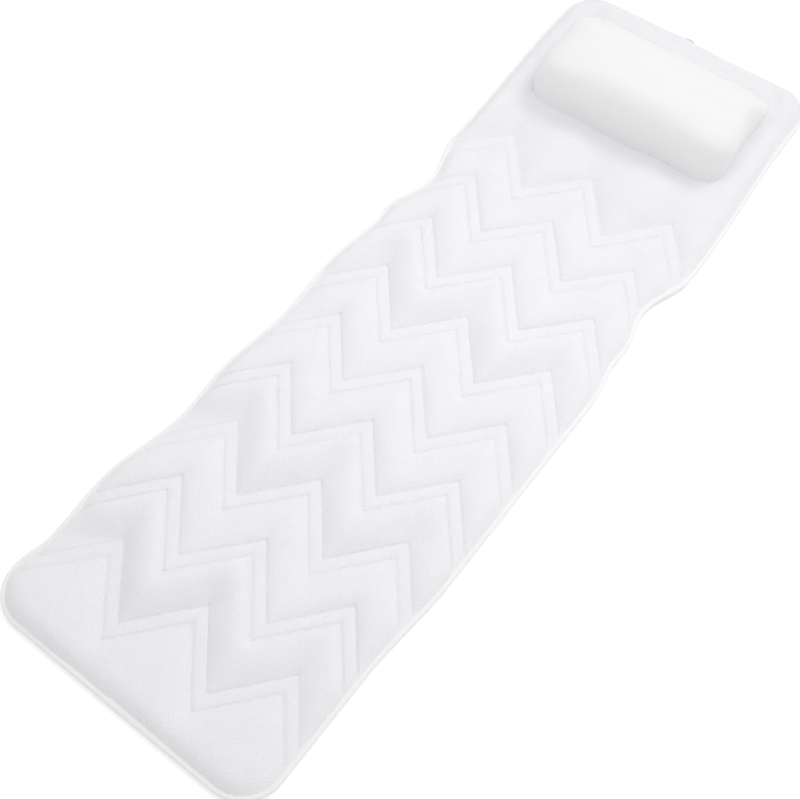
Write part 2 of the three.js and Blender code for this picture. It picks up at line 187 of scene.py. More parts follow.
floor_mesh = bpy.data.meshes.new("floor")
floor_corners = [(x * FLOOR_HALF, y * FLOOR_HALF, 0.0) for x, y in ((-1, -1), (1, -1), (1, 1), (-1, 1))]
floor_mesh.from_pydata(floor_corners, [], [(0, 1, 2, 3)])
floor = bpy.data.objects.new("floor", floor_mesh)
scene.collection.objects.link(floor)

floor_finish = bpy.data.materials.new("white_floor")
floor_finish.use_nodes = True
tree = floor_finish.node_tree
tree.nodes.clear()
matt = tree.nodes.new("ShaderNodeBsdfDiffuse")
matt.inputs["Color"].default_value = FLOOR_WHITE
glow = tree.nodes.new("ShaderNodeEmission")
dimmer = tree.nodes.new("ShaderNodeMath")
dimmer.operation = "MULTIPLY"
dimmer.inputs[1].default_value = FLOOR_GLOW
both = tree.nodes.new("ShaderNodeAddShader")
floor_out = tree.nodes.new("ShaderNodeOutputMaterial")
tree.links.new(seen_directly(tree.nodes, tree.links), dimmer.inputs[0])
tree.links.new(dimmer.outputs[0], glow.inputs["Strength"])
tree.links.new(matt.outputs[0], both.inputs[0])
tree.links.new(glow.outputs[0], both.inputs[1])
tree.links.new(both.outputs[0], floor_out.inputs["Surface"])
floor_mesh.materials.append(floor_finish)
print("floor:", 2 * FLOOR_HALF, "m square")

# %% [markdown]
# ## Shared effects for the cloths
# Four effects come back in several finishes, so each is a node group: the open dots of an air mesh, the
# over and under of a plain weave, the ribs of a tape, and the soft unevenness of any cloth. They work on
# a flat place in metres, which each piece carries as a UV map laid out as the cloth was cut, so the
# pattern folds with the cloth.

# %% Node group helpers
FLAT_MAP = "flat"


def new_group(name, inputs, outputs):
    """A shader node group with its sockets. inputs and outputs are lists of (name, type)."""
    group = bpy.data.node_groups.new(name, "ShaderNodeTree")
    for socket, kind in inputs:
        group.interface.new_socket(socket, in_out="INPUT", socket_type=kind)
    for socket, kind in outputs:
        group.interface.new_socket(socket, in_out="OUTPUT", socket_type=kind)
    entry = group.nodes.new("NodeGroupInput")
    leave = group.nodes.new("NodeGroupOutput")
    return group, entry, leave


def sum_node(tree, operation, first, second=None):
    """A math node between two sockets or plain numbers. Gives the socket that holds the result."""
    node = tree.nodes.new("ShaderNodeMath")
    node.operation = operation
    for slot, value in zip(node.inputs, (first, second)):
        if value is None:
            continue
        if isinstance(value, (int, float)):
            slot.default_value = value
        else:
            tree.links.new(value, slot)
    return node.outputs[0]


def wave_along(tree, place, direction, pitch):
    """A cosine wave that runs along a direction of the flat cloth, with its pitch in metres."""
    dot = tree.nodes.new("ShaderNodeVectorMath")
    dot.operation = "DOT_PRODUCT"
    dot.inputs[1].default_value = direction
    tree.links.new(place, dot.inputs[0])
    turns = sum_node(tree, "DIVIDE", dot.outputs["Value"], pitch)
    return sum_node(tree, "COSINE", sum_node(tree, "MULTIPLY", turns, 2 * math.pi))


FLOAT = "NodeSocketFloat"
VECTOR = "NodeSocketVector"
print("node group helpers ready")

# %% [markdown]
# ### Air mesh
# The top of the mat is a spacer mesh: a knit with rows of small openings that run along the two
# directions of the zigzag, less than 3 mm apart. Two crossed waves give the openings, and a fine ripple
# gives the yarn between them.

# %% Air mesh group
ZIGZAG_PITCH = 129.0
HALF_ZIGZAG = 38.5
ARM_ANGLE = math.atan2(2 * HALF_ZIGZAG, ZIGZAG_PITCH / 2)
ARM_NORMALS = (
    (-math.sin(ARM_ANGLE), math.cos(ARM_ANGLE), 0.0),
    (math.sin(ARM_ANGLE), math.cos(ARM_ANGLE), 0.0),
)
ACROSS = (1.0, 0.0, 0.0)
ALONG = (0.0, 1.0, 0.0)
STRAND_WANDER = 0.003
OPENING_FROM = 0.2
OPENING_TO = 1.8
YARN_PITCH_SHARE = 0.25
YARN_RIPPLE = 0.08

mesh_group, entry, leave = new_group(
    "air_mesh",
    [("Place", VECTOR), ("Pitch", FLOAT)],
    [("Height", FLOAT), ("Opening", FLOAT)],
)
wander = mesh_group.nodes.new("ShaderNodeTexNoise")
wander.inputs["Scale"].default_value = 150.0
wander.inputs["Detail"].default_value = 2.0
mesh_group.links.new(entry.outputs["Place"], wander.inputs["Vector"])
wandered = mesh_group.nodes.new("ShaderNodeVectorMath")
wandered.operation = "MULTIPLY_ADD"
wandered.inputs[1].default_value = (STRAND_WANDER, STRAND_WANDER, 0.0)
mesh_group.links.new(wander.outputs["Color"], wandered.inputs[0])
mesh_group.links.new(entry.outputs["Place"], wandered.inputs[2])
strands = wandered.outputs["Vector"]
crossed = sum_node(
    mesh_group,
    "ADD",
    wave_along(mesh_group, strands, ARM_NORMALS[0], entry.outputs["Pitch"]),
    wave_along(mesh_group, strands, ARM_NORMALS[1], entry.outputs["Pitch"]),
)
opening = mesh_group.nodes.new("ShaderNodeMapRange")
opening.interpolation_type = "SMOOTHSTEP"
opening.inputs["From Min"].default_value = OPENING_FROM
opening.inputs["From Max"].default_value = OPENING_TO
mesh_group.links.new(crossed, opening.inputs["Value"])
yarn_pitch = sum_node(mesh_group, "MULTIPLY", entry.outputs["Pitch"], YARN_PITCH_SHARE)
yarn = wave_along(mesh_group, strands, ACROSS, yarn_pitch)
yarn_height = sum_node(mesh_group, "MULTIPLY", yarn, YARN_RIPPLE)
surface = sum_node(mesh_group, "SUBTRACT", 1.0, opening.outputs["Result"])
mesh_group.links.new(sum_node(mesh_group, "ADD", surface, yarn_height), leave.inputs["Height"])
mesh_group.links.new(opening.outputs["Result"], leave.inputs["Opening"])
print("group:", mesh_group.name)

# %% Plain weave group
weave_group, entry, leave = new_group(
    "plain_weave",
    [("Place", VECTOR), ("Pitch", FLOAT)],
    [("Height", FLOAT)],
)
over = wave_along(weave_group, entry.outputs["Place"], ACROSS, entry.outputs["Pitch"])
under = wave_along(weave_group, entry.outputs["Place"], ALONG, entry.outputs["Pitch"])
checked = sum_node(weave_group, "MULTIPLY", over, under)
weave_group.links.new(
    sum_node(weave_group, "ADD", sum_node(weave_group, "MULTIPLY", checked, 0.5), 0.5),
    leave.inputs["Height"],
)
print("group:", weave_group.name)

# %% Tape rib group
WARP_PITCH_SHARE = 0.6
RIB_DEPTH = 0.35
WARP_DEPTH = 0.15

rib_group, entry, leave = new_group(
    "tape_rib",
    [("Place", VECTOR), ("Pitch", FLOAT)],
    [("Height", FLOAT)],
)
cross_ribs = wave_along(rib_group, entry.outputs["Place"], ACROSS, entry.outputs["Pitch"])
warp_pitch = sum_node(rib_group, "MULTIPLY", entry.outputs["Pitch"], WARP_PITCH_SHARE)
warp_yarn = wave_along(rib_group, entry.outputs["Place"], ALONG, warp_pitch)
ribs = sum_node(
    rib_group,
    "ADD",
    sum_node(rib_group, "MULTIPLY", cross_ribs, RIB_DEPTH),
    sum_node(rib_group, "MULTIPLY", warp_yarn, WARP_DEPTH),
)
rib_group.links.new(sum_node(rib_group, "ADD", ribs, 0.5), leave.inputs["Height"])
print("group:", rib_group.name)

# %% Uneven cloth group
uneven_group, entry, leave = new_group(
    "uneven_cloth",
    [("Place", VECTOR), ("Size", FLOAT)],
    [("Value", FLOAT)],
)
cloud = uneven_group.nodes.new("ShaderNodeTexNoise")
cloud.inputs["Detail"].default_value = 3.0
cloud.inputs["Roughness"].default_value = 0.6
uneven_group.links.new(entry.outputs["Place"], cloud.inputs["Vector"])
uneven_group.links.new(sum_node(uneven_group, "DIVIDE", 1.0, entry.outputs["Size"]), cloud.inputs["Scale"])
uneven_group.links.new(cloud.outputs["Fac"], leave.inputs["Value"])
print("group:", uneven_group.name)

# %% [markdown]
# ## Finishes
# A cloth finish here is a Principled shader with three things that change over the surface: the colour,
# which goes from a light tone to a slightly darker one, the roughness, and the bump of the weave. Sheen
# is the same all over, so it sits on the shader's own socket.

# %% Finish helper
CLOTH_GLOSS = 0.25


def mixed_colour(tree, share, light, dark):
    """A colour that goes from light to dark as share goes from 0 to 1."""
    mix = tree.nodes.new("ShaderNodeMix")
    mix.data_type = "RGBA"
    colours = [slot for slot in mix.inputs if slot.type == "RGBA"]
    colours[0].default_value = (*light, 1.0)
    colours[1].default_value = (*dark, 1.0)
    tree.links.new(share, mix.inputs["Factor"])
    return next(slot for slot in mix.outputs if slot.type == "RGBA")


def flat_place(tree):
    """The place on the flat cloth in metres, from the piece's UV map."""
    place = tree.nodes.new("ShaderNodeUVMap")
    place.uv_map = FLAT_MAP
    return place.outputs["UV"]


def placed_group(tree, group, place, **values):
    """Places a node group in a material, with its plain values by socket name."""
    node = tree.nodes.new("ShaderNodeGroup")
    node.node_tree = group
    tree.links.new(place, node.inputs["Place"])
    for socket, value in values.items():
        node.inputs[socket].default_value = value
    return node


def finish(name, sheen):
    """A finish that is still plain. Gives the material, its node tree and its Principled shader."""
    material = bpy.data.materials.new(name)
    material.use_nodes = True
    made = material.node_tree
    shader = made.nodes["Principled BSDF"]
    shader.inputs["Sheen Weight"].default_value = sheen
    shader.inputs["Specular IOR Level"].default_value = CLOTH_GLOSS
    return material, made, shader


def bump(tree, shader, height, distance):
    """Feeds a height into the shader's normal, with the depth in metres."""
    node = tree.nodes.new("ShaderNodeBump")
    node.inputs["Distance"].default_value = distance
    node.inputs["Strength"].default_value = 1.0
    tree.links.new(height, node.inputs["Height"])
    tree.links.new(node.outputs["Normal"], shader.inputs["Normal"])


def rough_range(tree, shader, share, low, high):
    """Roughness that goes from low to high with a share."""
    scale = sum_node(tree, "MULTIPLY", share, high - low)
    tree.links.new(sum_node(tree, "ADD", scale, low), shader.inputs["Roughness"])


print("finish helpers ready")

# %% Top mesh and backing mesh finishes
# The second colour of each mesh is mostly painted shade. The openings take it as the shade that lies inside
# them, more in some patches than in others. A little random grain also mixes it in as uneven tone.
TOP_WHITE = (0.885, 0.885, 0.91)
TOP_HOLE_SHADE = (0.80, 0.80, 0.83)
BACK_WHITE = (0.83, 0.83, 0.85)
BACK_HOLE_SHADE = (0.66, 0.66, 0.68)
PATCH_GAIN = 1.7
PATCH_CONTRAST = 2.0
HOLE_SHADE_SHARE = 0.42


def air_mesh_finish(name, light, dark, pitch, depth):
    """A finish of air mesh, with the pitch and the depth of its openings in metres."""
    material, made, shader = finish(name, sheen=0.15)
    place = flat_place(made)
    weave = placed_group(made, mesh_group, place, Pitch=pitch)
    uneven = placed_group(made, uneven_group, place, Size=0.03)
    patchy = placed_group(made, uneven_group, place, Size=0.009)
    gained = sum_node(made, "MULTIPLY", patchy.outputs["Value"], PATCH_GAIN)
    clear = sum_node(made, "POWER", gained, PATCH_CONTRAST)
    grain = placed_group(made, uneven_group, place, Size=0.0022)
    # Painted shade in the openings of the mesh, stronger in some patches than in others.
    painted_hole_shade = sum_node(made, "MULTIPLY", clear, HOLE_SHADE_SHARE)
    share = sum_node(made, "MULTIPLY", weave.outputs["Opening"], painted_hole_shade)
    worn = sum_node(made, "MULTIPLY", uneven.outputs["Value"], grain.outputs["Value"])
    colour = mixed_colour(made, sum_node(made, "ADD", share, worn), light, dark)
    made.links.new(colour, shader.inputs["Base Color"])
    rough_range(made, shader, uneven.outputs["Value"], low=0.82, high=0.98)
    bump(made, shader, weave.outputs["Height"], depth)
    return material


top_finish = air_mesh_finish("white_air_mesh", TOP_WHITE, TOP_HOLE_SHADE, pitch=0.0027, depth=0.00025)
backing_finish = air_mesh_finish("backing_mesh", BACK_WHITE, BACK_HOLE_SHADE, pitch=0.0024, depth=0.0004)
print("finishes:", top_finish.name, backing_finish.name)

# %% Tape, thread and pillow finishes
TAPE_WHITE = (0.95, 0.95, 0.95)
TAPE_SHADE = (0.86, 0.86, 0.86)
THREAD_WHITE = (0.88, 0.88, 0.88)
THREAD_SHADE = (0.74, 0.74, 0.75)
PILLOW_WHITE = (0.89, 0.89, 0.89)
PILLOW_SHADE = (0.845, 0.845, 0.85)


def woven_finish(name, group, light, dark, pitch, depth, sheen):
    """A finish of woven cloth or thread, with the pitch and the depth of its yarns in metres."""
    material, made, shader = finish(name, sheen)
    place = flat_place(made)
    weave = placed_group(made, group, place, Pitch=pitch)
    uneven = placed_group(made, uneven_group, place, Size=0.02)
    shade = sum_node(made, "SUBTRACT", 1.0, weave.outputs["Height"])
    share = sum_node(made, "MULTIPLY", sum_node(made, "ADD", shade, uneven.outputs["Value"]), 0.5)
    made.links.new(mixed_colour(made, share, light, dark), shader.inputs["Base Color"])
    rough_range(made, shader, uneven.outputs["Value"], low=0.7, high=0.9)
    bump(made, shader, weave.outputs["Height"], depth)
    return material


tape_finish = woven_finish(
    "binding_tape", rib_group, TAPE_WHITE, TAPE_SHADE, pitch=0.0011, depth=0.00012, sheen=0.1
)
thread_finish = woven_finish(
    "white_thread", rib_group, THREAD_WHITE, THREAD_SHADE, pitch=0.0005, depth=0.00005, sheen=0.0
)
pillow_finish = woven_finish(
    "pillow_cloth", weave_group, PILLOW_WHITE, PILLOW_SHADE, pitch=0.0009, depth=0.00006, sheen=0.2
)
print("finishes:", tape_finish.name, thread_finish.name, pillow_finish.name)

# %% [markdown]
# ### Clear vinyl and eyelets
# The cups are soft clear vinyl, so they let light through and blur it a little. The eyelets are moulded
# in white plastic with a faint grain. Both use the place in the object, because a lathe-turned piece has
# no flat cut.

# %% Vinyl and eyelet finishes
VINYL_TINT = (0.90, 0.94, 0.96)
VINYL_IOR = 1.53
EYELET_WHITE = (0.82, 0.82, 0.82)
EYELET_SHADE = (0.74, 0.74, 0.74)


def object_place(tree):
    """The place in the object's own space, in metres."""
    return tree.nodes.new("ShaderNodeTexCoord").outputs["Object"]


vinyl_finish, made, shader = finish("clear_vinyl", sheen=0.0)
shader.inputs["Base Color"].default_value = (*VINYL_TINT, 1.0)
shader.inputs["Transmission Weight"].default_value = 0.92
shader.inputs["IOR"].default_value = VINYL_IOR
shader.inputs["Specular IOR Level"].default_value = 0.5
haze = placed_group(made, uneven_group, object_place(made), Size=0.006)
rough_range(made, shader, haze.outputs["Value"], low=0.08, high=0.22)
bump(made, shader, haze.outputs["Value"], distance=0.0001)

eyelet_finish, made, shader = finish("eyelet_plastic", sheen=0.0)
grain = placed_group(made, uneven_group, object_place(made), Size=0.0015)
made.links.new(
    mixed_colour(made, grain.outputs["Value"], EYELET_WHITE, EYELET_SHADE),
    shader.inputs["Base Color"],
)
rough_range(made, shader, grain.outputs["Value"], low=0.35, high=0.55)
bump(made, shader, grain.outputs["Value"], distance=0.00005)
print("finishes:", vinyl_finish.name, eyelet_finish.name)

# %% [markdown]
# ## The plan of the mat
# From here the shapes are worked out in millimetres and turned into metres when a mesh is made. The plan
# repeats the part's own sizes. On top of them comes how this mat happens to lie: its foot and head ends
# drift a little to the left, the right side draws in early at the neck, and the head end is turned by
# about 3 degrees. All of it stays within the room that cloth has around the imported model.

# %% Sizes of the mat
MM = 0.001


def node_box(node):
    """Lowest and highest corner of a CAD node, in millimetres."""
    low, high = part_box(node)
    return np.array(low) / MM, np.array(high) / MM


foot_edge = node_box("binding_seat")[0][1]
head_edge = node_box("binding_head")[1][1]
neck_fold = node_box("quilt_top_head")[0][1]
half_width = node_box("binding_head")[1][0]

CORNER_RADIUS = 52.0
NECK_DEPTH = 21.0
NECK_HALF_SPAN = 86.0
SCALLOP_PITCH = 205.0
LEFT_SCALLOP_DEPTH = 7.0
LEFT_SCALLOP_FROM_FOOT = 90.0
FOOT_DRIFT = -9.0
FOOT_DRIFT_SPAN = (-440.0, -300.0)
HEAD_DRIFT = -14.0
HEAD_DRIFT_SPAN = (250.0, 540.0)
SHOULDER_DIP = 9.0
SHOULDER_Y = 72.0
SHOULDER_HALF_SPAN = 62.0
HEAD_TURN = 0.05
HEAD_TURN_SPAN = (250.0, 390.0)
print("mat from", round(foot_edge, 1), "to", round(head_edge, 1), "mm, half width", round(half_width, 1))

# %% Plan of the outline


def smooth(low, high, value):
    """0 below low, 1 above high, and an even S between them."""
    share = np.clip((value - low) / (high - low), 0.0, 1.0)
    return share * share * (3 - 2 * share)


def dip(middle, half_span, y):
    """1 in the middle of a span, falling evenly to 0 at its ends."""
    share = np.clip(np.abs(y - middle) / half_span, 0.0, 1.0)
    return (1 + np.cos(np.pi * share)) / 2


def drift(y):
    """How far the mat's middle lies to the right at y."""
    return FOOT_DRIFT * (1 - smooth(*FOOT_DRIFT_SPAN, y)) + HEAD_DRIFT * smooth(*HEAD_DRIFT_SPAN, y)


def corner_cut(y):
    """How much the rounded corners take off the half width near the two ends."""
    from_end = np.clip(np.minimum(y - foot_edge, head_edge - y), 0.0, CORNER_RADIUS)
    return CORNER_RADIUS - np.sqrt(CORNER_RADIUS**2 - (CORNER_RADIUS - from_end) ** 2)


def side_reach(y, side):
    """Distance from the stitching's middle line to the edge, to the left (side -1) or the right (side 1)."""
    reach = half_width - NECK_DEPTH * dip(neck_fold, NECK_HALF_SPAN, y) - corner_cut(y)
    from_end = np.minimum(y - foot_edge, neck_fold - y) - CORNER_RADIUS
    wave = (1 + np.cos(2 * np.pi * (y - foot_edge - LEFT_SCALLOP_FROM_FOOT) / SCALLOP_PITCH)) / 2
    scallop = LEFT_SCALLOP_DEPTH * wave * smooth(0, CORNER_RADIUS, from_end)
    shoulder = SHOULDER_DIP * dip(SHOULDER_Y, SHOULDER_HALF_SPAN, y)
    pulled_in = np.where(side < 0, scallop, shoulder)
    return reach - pulled_in + side * drift(y)


def turned(x, y):
    """The y of a point after the head end's turn."""
    return y + HEAD_TURN * x * smooth(*HEAD_TURN_SPAN, y)


print("width at the neck:", round(float(side_reach(neck_fold, -1) + side_reach(neck_fold, 1)), 1), "mm")

# %% [markdown]
# ## The quilting
# Nine double rows of zigzag stitching hold the top mesh down. A grid whose lines run along the stitching
# gives clean seams with few faces: columns stand on the corners of the zigzag, and rows follow its lines.
# Drawing the seams on a plain square grid would need a mesh many times finer.

# %% Rows and columns of the quilt
QUILT_ROWS = 9
ROW_PITCH = 98.75
LAST_ROW_FROM_FOOT = 111.0
TWIN_GAP = 25.0
SPLIT_ROW = 4
FLAT_BEFORE_PILLOW = 6.0

STRIP_STEPS = 8
BAND_STEPS = 20
BAND_EASE = 0.45
FOOT_STEPS = 30
NECK_STEPS = 26
HEAD_STEPS = 62
CORNER_EASE = 1.7
COLUMNS_PER_ARM = 20
EDGE_COLUMNS = 20


def zigzag(x):
    """Triangle wave of the stitching: 1 at its peaks, -1 in its valleys."""
    phase = np.abs(x / ZIGZAG_PITCH) % 1.0
    return 1 - 4 * np.minimum(phase, 1 - phase)


def row_middle(row):
    """Middle height of a row's head-side line, along the mat."""
    return foot_edge + LAST_ROW_FROM_FOOT + (QUILT_ROWS - row) * ROW_PITCH


pillow_low, pillow_high = node_box("pillow_cover")
row_places = []
row_zigs = []
seam_rows = []
in_strip = []


def add_rows(start, end, shares, strip=False):
    """Grid rows from one (place, zig) to another, without the first."""
    for share in shares:
        row_places.append(start[0] + (end[0] - start[0]) * share)
        row_zigs.append(start[1] + (end[1] - start[1]) * share)
        in_strip.append(strip)


def even(steps):
    """Even shares of a stretch, from its first step to its end."""
    return (np.arange(steps) + 1) / steps


def eased(steps):
    """Shares of a stretch that lie closer together at both its ends."""
    shares = even(steps)
    return shares - BAND_EASE * np.sin(2 * np.pi * shares) / (2 * np.pi)


last = (foot_edge, 0.0)
add_rows(last, last, [0.0])
for row in range(QUILT_ROWS, 0, -1):
    twin = (row_middle(row) - TWIN_GAP, 1.0)
    line = (row_middle(row), 1.0)
    add_rows(last, twin, even(FOOT_STEPS) ** CORNER_EASE if row == QUILT_ROWS else eased(BAND_STEPS))
    seam_rows.append(len(row_places) - 1)
    add_rows(twin, line, even(STRIP_STEPS), strip=True)
    seam_rows.append(len(row_places) - 1)
    last = line
flat_from = (pillow_low[1] - FLAT_BEFORE_PILLOW, 0.0)
add_rows(last, flat_from, even(NECK_STEPS))
add_rows(flat_from, (head_edge, 0.0), 1 - (1 - even(HEAD_STEPS)) ** CORNER_EASE)
row_places = np.array(row_places)[:, None]
row_zigs = np.array(row_zigs)[:, None]
split_index = seam_rows[2 * (QUILT_ROWS - SPLIT_ROW) + 1]

inner_count = 4 * COLUMNS_PER_ARM
inner_x = np.linspace(-ZIGZAG_PITCH, ZIGZAG_PITCH, inner_count + 1)
edge_shares = np.linspace(0, 1, EDGE_COLUMNS + 1)[1:]
column_sides = np.concatenate([-np.ones(EDGE_COLUMNS), np.sign(inner_x), np.ones(EDGE_COLUMNS)])
column_shares = np.concatenate([edge_shares[::-1], np.zeros(inner_count + 1), edge_shares])
outermost = np.full(EDGE_COLUMNS, ZIGZAG_PITCH)
column_inner = np.concatenate([-outermost, inner_x, outermost])
print("quilt grid:", len(row_places), "rows by", len(column_inner), "columns, split at row", split_index)

# %% Places of the grid
CLOSING_ROUNDS = 20

grid_y = np.repeat(row_places, len(column_inner), axis=1)
for _ in range(CLOSING_ROUNDS):
    outward = side_reach(grid_y, column_sides) - ZIGZAG_PITCH
    grid_x = column_inner + column_sides * column_shares * outward
    grid_y = row_places + row_zigs * HALF_ZIGZAG * zigzag(grid_x)
grid_y = turned(grid_x, grid_y)
print("grid spans", round(grid_x.min(), 1), "to", round(grid_x.max(), 1), "mm across")

# %% [markdown]
# ## Distance to the edge
# Several things depend on how far a point lies from the mat's edge: the height of the cloth, the droop
# and what the binding holds. The outline is walked in steps of a millimetre, and a search tree finds the
# nearest step.

# %% Outline and distance to it
OUTLINE_STEP = 1.0
TANGENT_SPAN = 2

outline_x = np.concatenate([grid_x[0], grid_x[1:, -1], grid_x[-1, -2::-1], grid_x[-2:0:-1, 0]])
outline_y = np.concatenate([grid_y[0], grid_y[1:, -1], grid_y[-1, -2::-1], grid_y[-2:0:-1, 0]])


def evenly(xs, ys, step, closed):
    """Points a step apart along a line of points."""
    if closed:
        xs = np.append(xs, xs[0])
        ys = np.append(ys, ys[0])
    run = np.concatenate([[0], np.cumsum(np.hypot(np.diff(xs), np.diff(ys)))])
    count = int(round(run[-1] / step))
    places = np.linspace(0, run[-1], count, endpoint=not closed)
    return np.interp(places, run, xs), np.interp(places, run, ys), run[-1]


fine_x, fine_y, outline_length = evenly(outline_x, outline_y, OUTLINE_STEP, True)
outline_tree = kdtree.KDTree(len(fine_x))
for index, (px, py) in enumerate(zip(fine_x, fine_y)):
    outline_tree.insert((px, py, 0.0), index)
outline_tree.balance()


def edge_distance(x, y):
    """Distance to the mat's outline."""
    found = [outline_tree.find((px, py, 0.0))[2] for px, py in zip(x.ravel(), y.ravel())]
    return np.array(found).reshape(x.shape)


def inward_from(xs, ys):
    """Unit directions from a closed line of points to its inside, on the left of its run."""
    ahead_x = np.roll(xs, -TANGENT_SPAN) - np.roll(xs, TANGENT_SPAN)
    ahead_y = np.roll(ys, -TANGENT_SPAN) - np.roll(ys, TANGENT_SPAN)
    ahead = np.hypot(ahead_x, ahead_y)
    return -ahead_y / ahead, ahead_x / ahead


grid_edge = edge_distance(grid_x, grid_y)
print("outline:", round(outline_length), "mm round")

# %% [markdown]
# ## Plan of the pillow
# The pillow's foot is a rectangle with rounded corners, turned with the head end. The mat is sewn down
# along it, so the mat's own height needs it first.

# %% Plan of the pillow
PILLOW_DRIFT = -12.0
PILLOW_END_SLACK = 4.0
PILLOW_BACK_SLACK = -17.0
PILLOW_FRONT_CORNER = 36.0
PILLOW_BACK_CORNER = 30.0
pillow_back = pillow_high[1] - PILLOW_BACK_SLACK
pillow_half_length = (pillow_high[0] - pillow_low[0]) / 2 - PILLOW_END_SLACK
pillow_half_depth = (pillow_back - pillow_low[1]) / 2
pillow_middle_y = (pillow_back + pillow_low[1]) / 2


def pillow_local(x, y):
    """A point of the mat as seen from the pillow's middle, with the pillow's own directions."""
    dx = x - PILLOW_DRIFT
    dy = y - pillow_middle_y - HEAD_TURN * PILLOW_DRIFT
    return dx + HEAD_TURN * dy, dy - HEAD_TURN * dx


def pillow_distance(x, y):
    """Distance outside the pillow's foot, negative under the pillow."""
    across, along = pillow_local(x, y)
    corner = np.where(along < 0, PILLOW_FRONT_CORNER, PILLOW_BACK_CORNER)
    qx = np.abs(across) - pillow_half_length + corner
    qy = np.abs(along) - pillow_half_depth + corner
    outside = np.hypot(np.maximum(qx, 0), np.maximum(qy, 0))
    return outside + np.minimum(np.maximum(qx, qy), 0) - corner


print("pillow foot:", round(2 * pillow_half_length), "by", round(2 * pillow_half_depth), "mm")

# %% [markdown]
# ## Distances to the stitching
# How high a pad stands depends on how far away its two lines of stitching are. A plain nearest distance
# to a zigzag has a hard ridge where two arms are equally near. Adding up the inverse cubes of the
# distances to all arms of a line rounds that ridge off, and it also lowers the pads in the zigzag's
# corners.

# %% Distances to the lines of stitching
NEAREST = 0.35
CROWDING = 3.0
ARM_STEP = ZIGZAG_PITCH / 2
ARMS_PER_LINE = 8


def line_arms(middle):
    """Both ends of every straight arm of one line of stitching, in millimetres."""
    corners_x = (np.arange(ARMS_PER_LINE + 1) - ARMS_PER_LINE / 2) * ARM_STEP
    corners = np.stack([corners_x, turned(corners_x, middle + HALF_ZIGZAG * zigzag(corners_x))], axis=1)
    return zip(corners[:-1], corners[1:])


def arm_distance(x, y, start, end):
    """Distance from points to one straight arm."""
    along = end - start
    share = np.clip(((x - start[0]) * along[0] + (y - start[1]) * along[1]) / along.dot(along), 0, 1)
    return np.hypot(x - start[0] - share * along[0], y - start[1] - share * along[1])


def line_distance(x, y, middle):
    """Distance to a line of stitching, smaller where two of its arms are near."""
    crowding = 0.0
    for start, end in line_arms(middle):
        crowding = crowding + (arm_distance(x, y, start, end) + NEAREST) ** -CROWDING
    return crowding ** (-1 / CROWDING) - NEAREST


line_middles = row_places[seam_rows, 0]
line_below = np.full(grid_x.shape, np.inf)
line_above = np.full(grid_x.shape, np.inf)
for number, (seam_row, middle) in enumerate(zip(seam_rows, line_middles)):
    row_before = seam_rows[number - 1] if number else 0
    row_after = seam_rows[number + 1] if number + 1 < len(seam_rows) else len(grid_x) - 1
    upwards = slice(seam_row, row_after + 1)
    downwards = slice(row_before, seam_row)
    line_below[upwards] = line_distance(grid_x[upwards], grid_y[upwards], middle)
    line_above[downwards] = line_distance(grid_x[downwards], grid_y[downwards], middle)
print("distances to", len(line_middles), "lines of stitching")

# %% [markdown]
# ## Blowing up cloth
# Padded cloth gets its shape from being held along its seams and pushed out by the fill. Blender's cloth
# does the same: the seams are pinned, pressure pushes the rest out, and gravity is off. Each run starts
# from a form that is already near the wanted one, so the way that each point moved is drawn back softly
# to a limit.

# %% Cloth helper
PUFF_FRAMES = 20
TINY = 1e-9


def puffed(points, faces, held, pressure, limit):
    """Points in millimetres after a cloth run that pins the held ones and moves none past the limit."""
    mesh = bpy.data.meshes.new("puffing")
    mesh.from_pydata((points * MM).tolist(), [], faces)
    body = bpy.data.objects.new("puffing", mesh)
    scene.collection.objects.link(body)
    body.vertex_groups.new(name="held").add(np.flatnonzero(held).tolist(), 1.0, "REPLACE")
    cloth = body.modifiers.new("puff", "CLOTH")
    cloth.collision_settings.use_collision = False
    settings = cloth.settings
    settings.vertex_group_mass = "held"
    settings.use_pressure = True
    settings.uniform_pressure_force = pressure
    settings.tension_stiffness = 25.0
    settings.compression_stiffness = 25.0
    settings.bending_stiffness = 4.0
    settings.mass = 0.2
    settings.air_damping = 3.0
    settings.effector_weights.gravity = 0.0
    for step in range(1, PUFF_FRAMES + 1):
        scene.frame_set(step)
    evaluated = body.evaluated_get(bpy.context.evaluated_depsgraph_get())
    places = np.zeros(3 * len(points), dtype=np.float32)
    evaluated.data.vertices.foreach_get("co", places)
    scene.frame_set(1)
    bpy.data.objects.remove(body)
    bpy.data.meshes.remove(mesh)
    move = places.reshape(-1, 3).astype(float) / MM - points
    length = np.linalg.norm(move, axis=1, keepdims=True) + TINY
    print("cloth moved by up to", round(float(length.max()), 1), "mm, held back to", limit, "mm")
    return points + move / length * limit * np.tanh(length / limit)


def grid_faces(rows, columns, first=0):
    """Four-sided faces of a grid whose points are numbered row by row."""
    at = first + np.arange(rows * columns).reshape(rows, columns)
    corners = np.stack([at[:-1, :-1], at[:-1, 1:], at[1:, 1:], at[1:, :-1]], axis=-1)
    return corners.reshape(-1, 4).tolist()


def noise_at(x, y, size, layer):
    """Even noise from -1 to 1 with features of a size, the same each run."""
    flat = [noise.noise((px / size, py / size, layer)) for px, py in zip(x.ravel(), y.ravel())]
    return np.array(flat).reshape(x.shape)


print("a cloth run has", PUFF_FRAMES, "frames")

